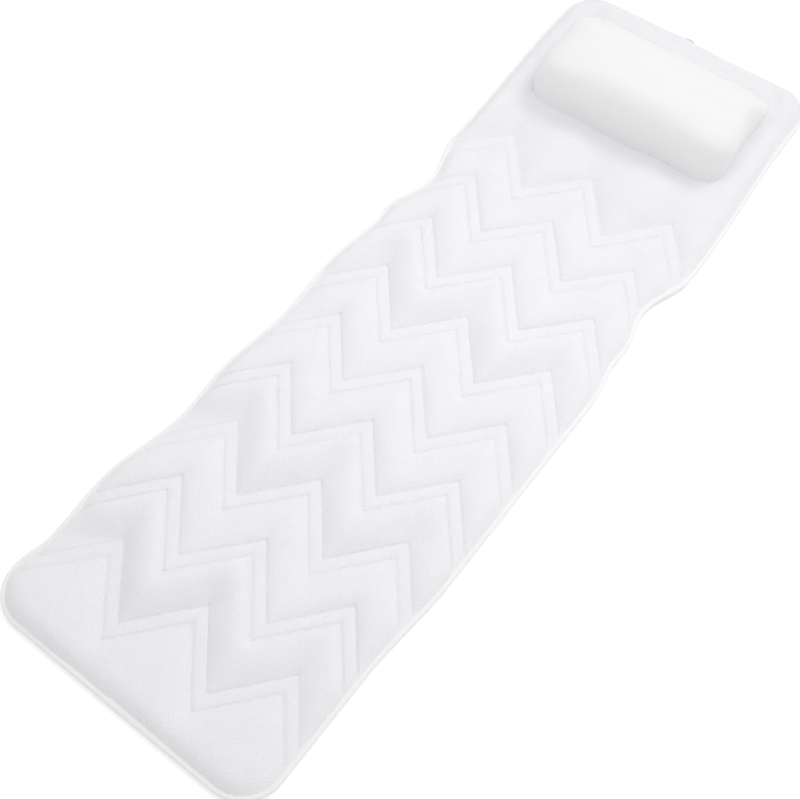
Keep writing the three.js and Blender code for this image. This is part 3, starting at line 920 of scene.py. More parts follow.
# %% [markdown]
# ## Top mesh
# Most pads are flat on top and fall quickly to the lines of stitching. A few lean: their fill has moved
# to the head side, so they rise slowly from the line on their foot side and look darker there. The narrow
# strip between twin lines stays low, since there is little fill in it. The neck rises after the first row
# and falls to the pillow. At the edge the mesh falls steeply to the binding. Slow noise makes the fill a
# little uneven, and the left edge sinks where it is drawn in. The cloth run then rounds the pads, with
# the sheet pinned along all 18 lines of stitching, round the edge and under the pillow. It works on a
# copy with about half the rows and columns, because the full grid would take minutes, and the movement is
# spread back to the fine grid. Last come a fine crease along the stitching and the droop of the free edge
# towards the floor.

# %% Droop and dents of the edge
DROOP = 4.0
DROOP_REACH = 30.0
DROOP_ENDS_SPAN = (420.0, 560.0)
DENT_PAST = 28.0
DENT_REACH = 70.0
FOOT_DENT = 12.0
HEAD_DENT = 6.0
DENT_POWER = 4
DENTS_AFTER_FOOT = 100.0
DENTS_BEFORE_NECK = 120.0


def droop(distance, y):
    """How far the mat hangs down near its edge. The head end, which the pillow stiffens, lies level."""
    return DROOP * (1 - smooth(0, DROOP_REACH, distance)) * (1 - smooth(*DROOP_ENDS_SPAN, y))


def edge_dents(x, y):
    """How far the left edge sinks just past each place where it is drawn in, most at the foot end."""
    from_first = y - foot_edge - LEFT_SCALLOP_FROM_FOOT - DENT_PAST
    wave = (1 + np.cos(2 * np.pi * from_first / SCALLOP_PITCH)) / 2
    depth = FOOT_DENT + (HEAD_DENT - FOOT_DENT) * smooth(foot_edge, neck_fold, y)
    before = 1 - smooth(foot_edge, foot_edge + DENTS_AFTER_FOOT, y)
    after = smooth(neck_fold - DENTS_BEFORE_NECK, neck_fold, y)
    near_left = np.exp(-(((x + half_width) / DENT_REACH) ** 2))
    return depth * wave**DENT_POWER * near_left * (1 - np.minimum(before + after, 1.0))


print("left edge sinks by up to", FOOT_DENT, "mm")

# %% Pads that lean
LEANING_ROWS = (9, 7, 4)
LEAN_LEVEL = 3.5
LEAN_FADE = 0.5
LEAN_FADES_FROM = -60.0

lean_places = [foot_edge]
lean_levels = [0.0]
for row in (*LEANING_ROWS, 1):
    lean_places += [row_middle(row), row_middle(row) + ROW_PITCH - TWIN_GAP]
    lean_levels += [-1.0, 1.0 if row > 1 else 0.0]


def lean_share(x):
    """How much a leaning pad leans: fully on the left, and less towards the right edge."""
    return 1 - LEAN_FADE * smooth(LEAN_FADES_FROM, half_width, x)


def leaning_level(x, y):
    """How the seams rise over a leaning pad, from its foot side to its head side, and sink again after it."""
    share = np.interp(y - HALF_ZIGZAG * zigzag(x), lean_places, lean_levels)
    return LEAN_LEVEL * share * lean_share(x)


print("leaning pads above rows", LEANING_ROWS)

# %% Height of the top mesh
SEAM_TOP = 18.0
LOWEST = 13.9
LOWEST_ROUND = 1.5
EDGE_TOP = 15.0
EDGE_FREE = 5.0
EDGE_REACH = 6.5
EDGE_POWER = 1.5
PILLOW_SEAT = 18.2
SEAT_FROM = -6.0
SEAT_TO = -13.0
COVERED = 28.0
BEHIND_SPAN = (0.4, 0.7)
BILLOW = 2.6
BILLOW_SIZE = 120.0
BILLOW_LAYER = 5.2


def behind(x, y):
    """1 along the back of the pillow, where the mat lies over the foot of its slope, 0 further forward."""
    return smooth(*BEHIND_SPAN, pillow_local(x, y)[1] / pillow_half_depth)


def sheet_height(x, y, distance, crown):
    """Height of the top mesh before it droops, for a crown above the level of the seams."""
    rise = 1 - np.exp(-((np.maximum(distance - EDGE_FREE, 0) / EDGE_REACH) ** EDGE_POWER))
    level = SEAM_TOP + leaning_level(x, y) + BILLOW * noise_at(x, y, BILLOW_SIZE, BILLOW_LAYER)
    spare = level + crown - edge_dents(x, y) - LOWEST
    kept_up = LOWEST + LOWEST_ROUND * np.logaddexp(0, spare / LOWEST_ROUND)
    height = EDGE_TOP + (kept_up - EDGE_TOP) * rise
    inside_foot = pillow_distance(x, y) + COVERED * behind(x, y)
    return height + (PILLOW_SEAT - height) * smooth(SEAT_FROM, SEAT_TO, inside_foot)


print("seams lie at", SEAM_TOP, "mm")

# %% Crowns of the pads
LEAN_CROWN = 34.0
LEAN_REACH = 45.0
FLAT_CROWN = 9.5
FLAT_REACH = 12.0
STRIP_CROWN = 3.6
FOOT_CROWN = 8.5
NECK_CROWN = 11.5
NECK_REACH = 24.0
NECK_PUFF = 8.0
NECK_FALL = 50.0
FALL_REACH = 8.0
LUMP = 0.45
LUMP_SIZE = 70.0
LUMP_LAYER = 1.7

row_count, column_count = grid_x.shape
at_foot_end = np.isinf(line_below)
at_neck = np.isinf(line_above)
strip = np.array(in_strip)[:, None]
leaning = np.zeros(strip.shape)
for row in LEANING_ROWS:
    line_number = 2 * (QUILT_ROWS - row) + 1
    leaning[seam_rows[line_number] : seam_rows[line_number + 1]] = 1.0
lean = leaning * lean_share(grid_x)
before_pillow = -pillow_local(grid_x, grid_y)[1] - pillow_half_depth
neck_heights = NECK_CROWN + NECK_PUFF * smooth(0, NECK_FALL, before_pillow)
heights = np.where(strip, STRIP_CROWN, FLAT_CROWN + (LEAN_CROWN - FLAT_CROWN) * lean)
heights = np.where(at_foot_end, FOOT_CROWN, np.where(at_neck, neck_heights, heights))
reach_below = np.where(strip, FALL_REACH, FLAT_REACH + (LEAN_REACH - FLAT_REACH) * lean)
reach_below = np.where(at_neck, NECK_REACH, reach_below)
crown = heights * (1 - np.exp(-line_below / reach_below)) * (1 - np.exp(-line_above / FALL_REACH))
crown = crown * (1 + LUMP * noise_at(grid_x, grid_y, LUMP_SIZE, LUMP_LAYER))
print("crowns of up to", round(float(crown.max()), 1), "mm above the seams")

# %% Groove and fillet round the pillow
PILLOW_GROOVE = 5.0
GROOVE_REACH = 9.0
BESIDE_SPAN = (0.85, 1.0)
PILLOW_FILLET = 6.0
FILLET_INSIDE = 22.0
FILLET_REACH = 11.0

from_pillow = pillow_distance(grid_x, grid_y)
beside_pillow = smooth(*BESIDE_SPAN, np.abs(pillow_local(grid_x, grid_y)[0]) / pillow_half_length)
crown = crown - PILLOW_GROOVE * beside_pillow * np.exp(-((from_pillow / GROOVE_REACH) ** 2))
fillet = np.exp(-(((from_pillow + FILLET_INSIDE) / FILLET_REACH) ** 2))
crown = crown + PILLOW_FILLET * behind(grid_x, grid_y) * (1 - beside_pillow) * fillet
print("groove of", PILLOW_GROOVE, "mm beside the pillow, fillet of", PILLOW_FILLET, "mm behind it")

# %% Start form of the top mesh
PAD_INSET = 2.0

fine_in_x, fine_in_y = inward_from(fine_x, fine_y)
nearest = [outline_tree.find((px, py, 0.0))[1] for px, py in zip(grid_x.ravel(), grid_y.ravel())]
nearest = np.array(nearest).reshape(grid_x.shape)
trimmed = np.maximum(PAD_INSET - grid_edge, 0.0)
pad_x = grid_x + fine_in_x[nearest] * trimmed
pad_y = grid_y + fine_in_y[nearest] * trimmed
on_seam = np.zeros(grid_x.shape, dtype=bool)
on_seam[seam_rows] = True
start_height = sheet_height(grid_x, grid_y, grid_edge, crown)
start_sheet = np.stack([pad_x, pad_y, start_height], axis=-1)
held = on_seam | (grid_edge < EDGE_FREE) | (from_pillow < SEAT_FROM - COVERED)
print("start form from", round(start_height.min(), 1), "to", round(start_height.max(), 1), "mm high")

# %% Cloth run of the top mesh
RUN_STEP = 2
TOP_PRESSURE = 3.0
TOP_SWELL = 1.6
CREASE = 0.7
CREASE_FULL = 12.0

run_rows = sorted({*range(0, row_count, RUN_STEP), *seam_rows, row_count - 1})
run_columns = sorted({*range(0, column_count, RUN_STEP), column_count - 1})
run_grid = np.ix_(run_rows, run_columns)
run_start = np.stack([grid_x[run_grid], grid_y[run_grid], start_height[run_grid]], axis=-1)
run_end = puffed(
    run_start.reshape(-1, 3),
    grid_faces(len(run_rows), len(run_columns)),
    held[run_grid].ravel(),
    TOP_PRESSURE,
    TOP_SWELL,
).reshape(run_start.shape)


def spread(values):
    """Values of the coarse grid, spread evenly to all rows and columns of the fine one."""
    rows_filled = [np.interp(np.arange(row_count), run_rows, column) for column in values.T]
    filled = [np.interp(np.arange(column_count), run_columns, row) for row in np.array(rows_filled).T]
    return np.array(filled)


def crease(distance):
    """How far the stitching cuts into the cloth, at a distance from the mat's edge."""
    return CREASE * smooth(EDGE_FREE, CREASE_FULL, distance)


run_move = run_end - run_start
top_sheet = start_sheet + np.stack([spread(run_move[..., axis]) for axis in range(3)], axis=-1)
top_sheet[..., 2] -= on_seam * crease(grid_edge)
top_sheet[..., 2] -= droop(grid_edge, grid_y)
print("top mesh from", round(top_sheet[..., 2].min(), 1), "to", round(top_sheet[..., 2].max(), 1), "mm high")

# %% [markdown]
# ## Mesh making
# Every piece goes through one helper: it turns millimetres into metres, makes the mesh, writes the flat
# place of each point as a UV map, shades it smooth and gives it its finish. The normals are then turned
# outwards.

# %% Mesh helpers


def turn_outwards(mesh):
    """Turns all normals outwards, and keeps a sharp edge round each flat face."""
    working = bmesh.new()
    working.from_mesh(mesh)
    bmesh.ops.recalc_face_normals(working, faces=working.faces)
    for face in working.faces:
        if not face.smooth:
            for edge in face.edges:
                edge.smooth = False
    working.to_mesh(mesh)
    working.free()


def make_piece(name, points, faces, flat, material, ends=()):
    """A mesh object from points and flat places in millimetres. The faces in ends stay flat and sharp."""
    mesh = bpy.data.meshes.new(name)
    mesh.from_pydata((np.asarray(points) * MM).tolist(), [], faces)
    corners = np.zeros(len(mesh.loops), dtype=np.int32)
    mesh.loops.foreach_get("vertex_index", corners)
    layer = mesh.uv_layers.new(name=FLAT_MAP)
    layer.data.foreach_set("uv", (np.asarray(flat)[corners] * MM).astype(np.float32).ravel())
    rounded = np.ones(len(mesh.polygons), dtype=bool)
    rounded[list(ends)] = False
    mesh.polygons.foreach_set("use_smooth", rounded)
    mesh.materials.append(material)
    turn_outwards(mesh)
    piece = bpy.data.objects.new(name, mesh)
    scene.collection.objects.link(piece)
    return piece


def tube_faces(rings, size, first=0, ends=True):
    """Faces between rings of points that follow each other, and then the two faces that close the tube."""
    faces = []
    for ring in range(rings - 1):
        for k in range(size):
            a = first + ring * size + k
            b = first + ring * size + (k + 1) % size
            faces.append([a, b, b + size, a + size])
    if ends:
        last_ring = first + (rings - 1) * size
        faces.append([first + k for k in range(size)])
        faces.append([last_ring + k for k in range(size)])
    return faces


print("mesh helpers ready")

# %% [markdown]
# ## Quilted pad
# The mat folds at the hip and at the neck, and one piece can bend across one joint only. So the pad is
# two closed pieces that meet along a line of stitching on the back section, where a seam hides the joint.
# Each has the fine top, a plain underside with fewer columns, and walls between the two.

# %% Quilted pad
PAD_BOTTOM = 12.9
UNDER_COLUMN_STEP = 8
UNDER_EDGE_STEP = 4

under_columns = {*range(0, column_count, UNDER_COLUMN_STEP), *range(0, EDGE_COLUMNS, UNDER_EDGE_STEP)}
under_columns = sorted({*under_columns, *(column_count - 1 - c for c in under_columns)})


def pad_piece(name, first, final):
    """The closed pad over grid rows first to final."""
    rows = slice(first, final + 1)
    count = final + 1 - first
    below = PAD_BOTTOM - droop(grid_edge[rows], grid_y[rows])
    top = top_sheet[rows].reshape(-1, 3)
    under = np.stack([pad_x[rows], pad_y[rows], below], axis=-1)[:, under_columns].reshape(-1, 3)
    points = np.concatenate([top, under])
    laid_flat = np.concatenate([start_sheet[rows].reshape(-1, 3)[:, :2], under[:, :2]])
    faces = grid_faces(count, column_count)
    under_first = len(top)
    under_count = len(under_columns)
    faces += grid_faces(count, under_count, under_first)
    for row in range(count - 1):
        for top_column, under_column in ((0, 0), (column_count - 1, under_count - 1)):
            a = row * column_count + top_column
            b = under_first + row * under_count + under_column
            faces.append([a, a + column_count, b + under_count, b])
    smooth_count = len(faces)
    for row in (0, count - 1):
        for k in range(under_count - 1):
            above = [row * column_count + c for c in range(under_columns[k], under_columns[k + 1] + 1)]
            low = under_first + row * under_count + k
            faces.append([*above, low + 1, low])
    return make_piece(name, points, faces, laid_flat, top_finish, range(smooth_count, len(faces)))


pad_lower = pad_piece("quilted_pad_lower", 0, split_index)
pad_upper = pad_piece("quilted_pad_upper", split_index, len(row_places) - 1)
print("pad faces:", len(pad_lower.data.polygons), "and", len(pad_upper.data.polygons))

# %% [markdown]
# ## Backing
# Under the pad lies a thinner mesh with holes for the cups. It shows the same stitching from below as
# shallow lines. It is made as one sheet with the holes left out, and a Solidify modifier then gives it
# thickness and rims.

# %% Backing
BACKING_BOTTOM = 11.0
BACKING_THICKNESS = 1.5
BACKING_CREASE = 0.9
BACKING_CREASE_SPAN = (6.0, 20.0)
HOLE_RADIUS = 6.0
BACKING_STEP = 2

sections = {"seat": 6, "back": 4, "head": 4}
cup_labels = [f"{section}_{n + 1}" for section, count in sections.items() for n in range(count)]
cup_places = {}
for label in cup_labels:
    low, high = node_box(f"suction_cup_{label}")
    cup_places[label] = (low[:2] + high[:2]) / 2


def applied(piece):
    """Bakes a piece's modifiers into its mesh."""
    evaluated = piece.evaluated_get(bpy.context.evaluated_depsgraph_get())
    baked = bpy.data.meshes.new_from_object(evaluated)
    piece.modifiers.clear()
    piece.data = baked
    return piece


def backing_piece(name, first, final):
    """The backing under grid rows first to final, with a hole for each cup."""
    rows = sorted({*range(first, final + 1, BACKING_STEP), final})
    columns = sorted({*range(0, column_count, BACKING_STEP), column_count - 1})
    x, y = pad_x[np.ix_(rows, columns)], pad_y[np.ix_(rows, columns)]
    edge = grid_edge[np.ix_(rows, columns)]
    lifted = BACKING_CREASE * on_seam[np.ix_(rows, columns)] * smooth(*BACKING_CREASE_SPAN, edge)
    z = BACKING_BOTTOM + lifted - droop(edge, y)
    points = np.stack([x, y, z], axis=-1).reshape(-1, 3)
    near_cup = np.zeros(len(points), dtype=bool)
    for place in cup_places.values():
        near_cup |= np.hypot(points[:, 0] - place[0], points[:, 1] - place[1]) < HOLE_RADIUS
    faces = [face for face in grid_faces(len(rows), len(columns)) if not near_cup[face].any()]
    used = np.unique(np.array(faces))
    renumber = np.full(len(points), -1)
    renumber[used] = np.arange(len(used))
    kept = points[used]
    kept_faces = [[int(renumber[v]) for v in face] for face in faces]
    piece = make_piece(name, kept, kept_faces, kept[:, :2], backing_finish)
    solidify = piece.modifiers.new("thickness", "SOLIDIFY")
    solidify.thickness = BACKING_THICKNESS * MM
    upwards = piece.data.polygons[0].normal.z > 0
    solidify.offset = 1.0 if upwards else -1.0
    return applied(piece)


backing_lower = backing_piece("backing_lower", 0, split_index)
backing_upper = backing_piece("backing_upper", split_index, len(row_places) - 1)
print("backing faces:", len(backing_lower.data.polygons), "and", len(backing_upper.data.polygons))

# %% [markdown]
# ## Binding
# One tape is folded over the raw edges all round, and its two ends overlap at the middle of the foot end.
# It is a folded section carried along the outline. A curve with a bevel would do the same, but its
# section can't follow the edge up and down or thicken at the overlap.

# %% Section of the binding
BINDING_LAP = 7.5
BINDING_MIDDLE = 13.0
BINDING_HALF_HEIGHT = 3.3
BINDING_ROUND = 2.8
BINDING_WALL = 1.1
ARC_STEPS = 8
LAP_DROP = 0.35
LAP_ROUND = 0.5
LAP_BULGE = 0.1


def binding_section(grown, lap):
    """Points of the folded tape, as (inside the outline, height), grown outwards by a little."""
    outer = []
    inner = []
    for step in range(ARC_STEPS + 1):
        angle = math.pi / 2 + math.pi * step / ARC_STEPS
        across = BINDING_ROUND + math.cos(angle) * (BINDING_ROUND + grown)
        outer.append((across, math.sin(angle) * (BINDING_HALF_HEIGHT + grown)))
        across = BINDING_ROUND + math.cos(angle) * (BINDING_ROUND - BINDING_WALL)
        inner.append((across, math.sin(angle) * (BINDING_HALF_HEIGHT - BINDING_WALL)))
    top = BINDING_HALF_HEIGHT + grown
    low = BINDING_HALF_HEIGHT - BINDING_WALL
    lap_edge = [(lap, top - LAP_DROP), (lap - LAP_ROUND, top), ((lap + BINDING_ROUND) / 2, top + LAP_BULGE)]
    mirrored = [(inside, -rise) for inside, rise in reversed(lap_edge)]
    return lap_edge + outer + mirrored + [(lap, -low)] + inner[::-1] + [(lap, low)]


print("binding section:", len(binding_section(0.0, BINDING_LAP)), "points")

# %% Binding
BINDING_STEP = 4.0
OVERLAP_LENGTH = 120.0
OVERLAP_AT = -14.0
OVERLAP_RISE = 0.9
TAPE_WAVE = 0.35
TAPE_WAVE_SIZE = 22.0
TAPE_WAVE_LAYER = 3.1

loop_x, loop_y, loop_length = evenly(outline_x, outline_y, BINDING_STEP, True)
loop_count = len(loop_x)
inward_x, inward_y = inward_from(loop_x, loop_y)


def below_split(x, y):
    """True for points of the edge on the foot side of the line where the two halves meet."""
    return y < np.where(x < 0, grid_y[split_index, 0], grid_y[split_index, -1])


def station_run(lower):
    """Numbers of one half's outline stations, in order. Both halves have the stations where they meet."""
    below = below_split(loop_x, loop_y)
    start = next(i for i in range(loop_count) if below[i] and not below[i - 1])
    length = int(below.sum())
    run = [(start + k) % loop_count for k in range(loop_count + 1)]
    return run[:length] if lower else run[length - 1 :]


def binding_piece(name, lower):
    """One half of the binding, carried along its stations."""
    run = station_run(lower)
    points = []
    flat = []
    for place, i in enumerate(run):
        past_end = loop_x[i] - OVERLAP_AT
        grown = 0.0
        if loop_y[i] < foot_edge + CORNER_RADIUS and past_end > 0:
            grown = OVERLAP_RISE * (1 - smooth(0, OVERLAP_LENGTH, past_end))
        wave = noise.noise((i * BINDING_STEP / TAPE_WAVE_SIZE, TAPE_WAVE_LAYER, 0.0)) * TAPE_WAVE
        section = binding_section(grown, BINDING_LAP + wave)
        middle = BINDING_MIDDLE - droop(0.0, loop_y[i]) + wave / 2
        around = 0.0
        for k, (inside, rise) in enumerate(section):
            x = loop_x[i] + inward_x[i] * inside
            y = loop_y[i] + inward_y[i] * inside
            points.append((x, y, middle + rise))
            if k:
                around += math.hypot(inside - section[k - 1][0], rise - section[k - 1][1])
            flat.append((place * BINDING_STEP, around))
    faces = tube_faces(len(run), len(section))
    return make_piece(name, points, faces, flat, tape_finish, range(len(faces) - 2, len(faces)))


binding_lower = binding_piece("binding_lower", True)
binding_upper = binding_piece("binding_upper", False)
print("binding:", round(loop_length), "mm of tape in", loop_count, "stations")

# %% [markdown]
# ## Stitches
# Each stitch is a short bent thread that dives into the cloth at both ends. All stitches of a half are
# one mesh, because thousands of objects would slow everything down. The quilting has stitches about 4 mm
# long, and the binding is held by a finer row near its inner edge.

# %% Stitches of the quilting
STITCH_PITCH = 4.2
THREAD_RADIUS = 0.36
THREAD_SIDES = 5
STITCH_END = 0.42
STITCH_SHOULDER = 0.24
STITCH_DIVE = -0.45
STITCH_RISE = 0.12
STITCH_TAPER = 0.6

dive_in = (-STITCH_END, STITCH_DIVE, STITCH_TAPER)
lie_from = (-STITCH_SHOULDER, STITCH_RISE, 1.0)
lie_to = (STITCH_SHOULDER, STITCH_RISE, 1.0)
dive_out = (STITCH_END, STITCH_DIVE, STITCH_TAPER)
stitch_shape = (dive_in, lie_from, lie_to, dive_out)


def stitch_mesh(name, centres, directions, pitch, height_of):
    """One mesh of stitches at centres, along unit directions. height_of gives the cloth's height."""
    points = []
    flat = []
    around = np.arange(THREAD_SIDES) * 2 * np.pi / THREAD_SIDES
    across = np.stack([-directions[:, 1], directions[:, 0]], axis=1)
    for share, lift, width in stitch_shape:
        place = centres + directions * (share * pitch)
        height = height_of(place[:, 0], place[:, 1]) + lift
        radius = THREAD_RADIUS * width
        ring = place[:, None, :] + across[:, None, :] * (radius * np.cos(around))[None, :, None]
        ring_z = height[:, None] + (radius * np.sin(around))[None, :]
        points.append(np.concatenate([ring, ring_z[..., None]], axis=-1))
        flat.append(np.broadcast_to([share * STITCH_PITCH, 0.0], ring.shape))
    points = np.stack(points, axis=1)
    flat = np.stack(flat, axis=1).reshape(-1, 2)
    rings = len(stitch_shape)
    faces = []
    for stitch in range(len(centres)):
        faces += tube_faces(rings, THREAD_SIDES, stitch * rings * THREAD_SIDES)
    return make_piece(name, points.reshape(-1, 3), faces, flat, thread_finish)


def seam_top(x, y):
    """Height of the cloth at a seam of the quilting."""
    distance = edge_distance(x, y)
    return sheet_height(x, y, distance, 0.0) - crease(distance) - droop(distance, y)


def quilting_piece(name, lines):
    """The stitches on some lines of the grid, as far as the binding."""
    centres = []
    directions = []
    for row in lines:
        inside = grid_edge[row] > BINDING_LAP
        x, y, _ = evenly(grid_x[row][inside], grid_y[row][inside], STITCH_PITCH, False)
        ahead = np.stack([np.diff(x), np.diff(y)], axis=1)
        centres.append(np.stack([(x[1:] + x[:-1]) / 2, (y[1:] + y[:-1]) / 2], axis=1))
        directions.append(ahead / np.linalg.norm(ahead, axis=1, keepdims=True))
    return stitch_mesh(name, np.concatenate(centres), np.concatenate(directions), STITCH_PITCH, seam_top)


quilting_lower = quilting_piece("quilting_lower", [row for row in seam_rows if row <= split_index])
quilting_upper = quilting_piece("quilting_upper", [row for row in seam_rows if row > split_index])
print("quilting faces:", len(quilting_lower.data.polygons), "and", len(quilting_upper.data.polygons))

# %% Stitches of the binding
BINDING_STITCH_PITCH = 3.4
STITCH_FROM_LAP = 1.7
HEM_LIFT = 0.05

hem_inset = BINDING_LAP - STITCH_FROM_LAP
sewn_x, sewn_y, _ = evenly(
    loop_x + inward_x * hem_inset,
    loop_y + inward_y * hem_inset,
    BINDING_STITCH_PITCH,
    True,
)
step_x = np.roll(sewn_x, -1) - np.roll(sewn_x, 1)
step_y = np.roll(sewn_y, -1) - np.roll(sewn_y, 1)
step = np.hypot(step_x, step_y)
sewn = np.stack([sewn_x, sewn_y], axis=1)
sewn_along = np.stack([step_x / step, step_y / step], axis=1)
sewn_lower = below_split(sewn_x, sewn_y)


def tape_height(x, y):
    """Height of the binding's upper face."""
    return BINDING_MIDDLE + BINDING_HALF_HEIGHT + HEM_LIFT - droop(0.0, y)


def hem_piece(name, chosen):
    """The stitches of one half of the binding."""
    return stitch_mesh(name, sewn[chosen], sewn_along[chosen], BINDING_STITCH_PITCH, tape_height)


hem_lower = hem_piece("binding_stitches_lower", sewn_lower)
hem_upper = hem_piece("binding_stitches_upper", ~sewn_lower)
print("binding stitches:", len(sewn))

# %% [markdown]
# ## Head pillow
# The pillow is a foam loaf in a smooth cover: a steep front, a rounded front edge, a nearly flat top and
# a long slope down to the back. Each level is the foot's outline drawn in towards the crown. The front
# and the two ends follow rounded-square curves, each with its own power, and the back follows a soft
# slope. The form is then made again from even faces and blown up a little by the cloth run, pinned along
# its foot, so that the cover looks filled.

# %% Foot of the head pillow
SIDE_PULL = 2.5
PULL_FROM = 0.6
RING_STEP = 5.0
CORNER_POINTS = 24


def pillow_plan():
    """The pillow's foot as points round it, from its own middle. Its front and ends are drawn in a little."""
    xs = []
    ys = []
    quarter = np.linspace(0, np.pi / 2, CORNER_POINTS)
    corners = (
        (1, -1, PILLOW_FRONT_CORNER, -np.pi / 2),
        (1, 1, PILLOW_BACK_CORNER, 0.0),
        (-1, 1, PILLOW_BACK_CORNER, np.pi / 2),
        (-1, -1, PILLOW_FRONT_CORNER, np.pi),
    )
    for right, back, radius, start in corners:
        xs.append(right * (pillow_half_length - radius) + radius * np.cos(start + quarter))
        ys.append(back * (pillow_half_depth - radius) + radius * np.sin(start + quarter))
    x, y, _ = evenly(np.concatenate(xs), np.concatenate(ys), RING_STEP, True)
    at_end = smooth(PULL_FROM, 1.0, np.abs(x) / pillow_half_length)
    at_front = smooth(-PULL_FROM, -1.0, y / pillow_half_depth)
    pull_x = SIDE_PULL * dip(0.0, pillow_half_depth, y) * np.sign(x) * at_end
    pull_y = SIDE_PULL * dip(0.0, pillow_half_length, x) * at_front
    return x - pull_x, y + pull_y


plan_x, plan_y = pillow_plan()
ring_count = len(plan_x)
print("pillow foot:", ring_count, "points")

# %% Form of the head pillow
PILLOW_FRONT_POWER = 5.6
PILLOW_BACK_SOFTNESS = 0.5
LEFT_END_POWER = 5.0
RIGHT_END_POWER = 7.5
PILLOW_CROWN_FROM_FRONT = 96.0
PILLOW_TUCK = 0.5
TUCK_LEVEL = 0.26
PILLOW_BOTTOM = 18.7
PILLOW_SWELL = 1.6
WALL_RINGS = 10
WALL_LEVEL = 0.55
TOP_RINGS = 36
FIRST_TOP_SHARE = 0.975
LAST_TOP_SHARE = 0.03
CROWN_BLEND = 25.0
SLOPE_SAMPLES = 60

pillow_rise = pillow_high[2] - PILLOW_SWELL - PILLOW_BOTTOM
crown_y = PILLOW_CROWN_FROM_FRONT - pillow_half_depth


def drawn_in(level, power):
    """Share of the outline that is left at a level, from 1 at the foot to 0 at the crown."""
    return np.maximum(1 - level**power, 0.0) ** (1 / power)


def back_share(level):
    """Share of the depth behind the crown left at a level: partly a straight slope, partly a soft S."""
    share = np.linspace(1, 0, SLOPE_SAMPLES)
    soft = (1 + np.cos(np.pi * share)) / 2
    height = (1 - PILLOW_BACK_SOFTNESS) * (1 - share) + PILLOW_BACK_SOFTNESS * soft
    return np.interp(level, height, share)


top_shares = np.linspace(FIRST_TOP_SHARE, LAST_TOP_SHARE, TOP_RINGS)
levels = np.concatenate([np.linspace(0, WALL_LEVEL, WALL_RINGS), drawn_in(top_shares, PILLOW_FRONT_POWER)])
backness = smooth(-CROWN_BLEND, CROWN_BLEND, plan_y - crown_y)
rings = []
for level in levels:
    tuck = 1 - PILLOW_TUCK * (1 - smooth(0.0, TUCK_LEVEL, level)) / pillow_half_depth
    end_share = np.where(plan_x < 0, drawn_in(level, LEFT_END_POWER), drawn_in(level, RIGHT_END_POWER))
    x = plan_x * end_share * tuck
    share = drawn_in(level, PILLOW_FRONT_POWER) * (1 - backness) + back_share(level) * backness
    y = crown_y + (plan_y - crown_y) * share * tuck
    rings.append(np.stack([x, y, np.full(ring_count, PILLOW_BOTTOM + pillow_rise * level)], axis=-1))
crown_point = [[0.0, crown_y, PILLOW_BOTTOM + pillow_rise]]
foot_point = [[0.0, crown_y, PILLOW_BOTTOM]]
loaf_points = np.concatenate([*rings, crown_point, foot_point])
crown_number = len(loaf_points) - 2
loaf_faces = tube_faces(len(levels), ring_count, ends=False)
top_ring = (len(levels) - 1) * ring_count
for k in range(ring_count):
    after = (k + 1) % ring_count
    loaf_faces.append([top_ring + k, top_ring + after, crown_number])
    loaf_faces.append([after, k, crown_number + 1])
print("pillow form:", len(loaf_faces), "faces")

# %% Pillow cover
VOXEL = 4.5
HELD_RISE = 10.0
PILLOW_PRESSURE = 1.5
SMOOTH_ROUNDS = 20
SMOOTH_FROM = 6.0
SMOOTH_FULL = 24.0
COVER_WAVE = 2.2
COVER_WAVE_SIZE = 60.0
COVER_WAVE_APART = 200.0


def points_of(mesh):
    """A mesh's points in millimetres."""
    places = np.zeros(3 * len(mesh.vertices), dtype=np.float32)
    mesh.vertices.foreach_get("co", places)
    return places.reshape(-1, 3).astype(float) / MM


def even_faced(points, faces, voxel):
    """The same form in even faces, smoothed above its foot. Gives points in millimetres and faces."""
    mesh = bpy.data.meshes.new("form")
    mesh.from_pydata((points * MM).tolist(), [], faces)
    body = bpy.data.objects.new("form", mesh)
    scene.collection.objects.link(body)
    remesh = body.modifiers.new("even", "REMESH")
    remesh.mode = "VOXEL"
    remesh.voxel_size = voxel * MM
    applied(body)
    rises = points_of(body.data)[:, 2]
    above_foot = smooth(PILLOW_BOTTOM + SMOOTH_FROM, PILLOW_BOTTOM + SMOOTH_FULL, rises)
    group = body.vertex_groups.new(name="above_foot")
    for number, weight in enumerate(above_foot):
        group.add([number], float(weight), "REPLACE")
    rounding = body.modifiers.new("round", "SMOOTH")
    rounding.iterations = SMOOTH_ROUNDS
    rounding.vertex_group = group.name
    made = applied(body).data
    even_faces = [list(face.vertices) for face in made.polygons]
    even_points = points_of(made)
    bpy.data.objects.remove(body)
    return even_points, even_faces


def on_mat(points):
    """Turns and moves points from the pillow's middle to their place on the mat."""
    x = points[:, 0] - HEAD_TURN * points[:, 1] + PILLOW_DRIFT
    y = points[:, 1] + HEAD_TURN * points[:, 0] + pillow_middle_y + HEAD_TURN * PILLOW_DRIFT
    return np.stack([x, y, points[:, 2]], axis=-1)


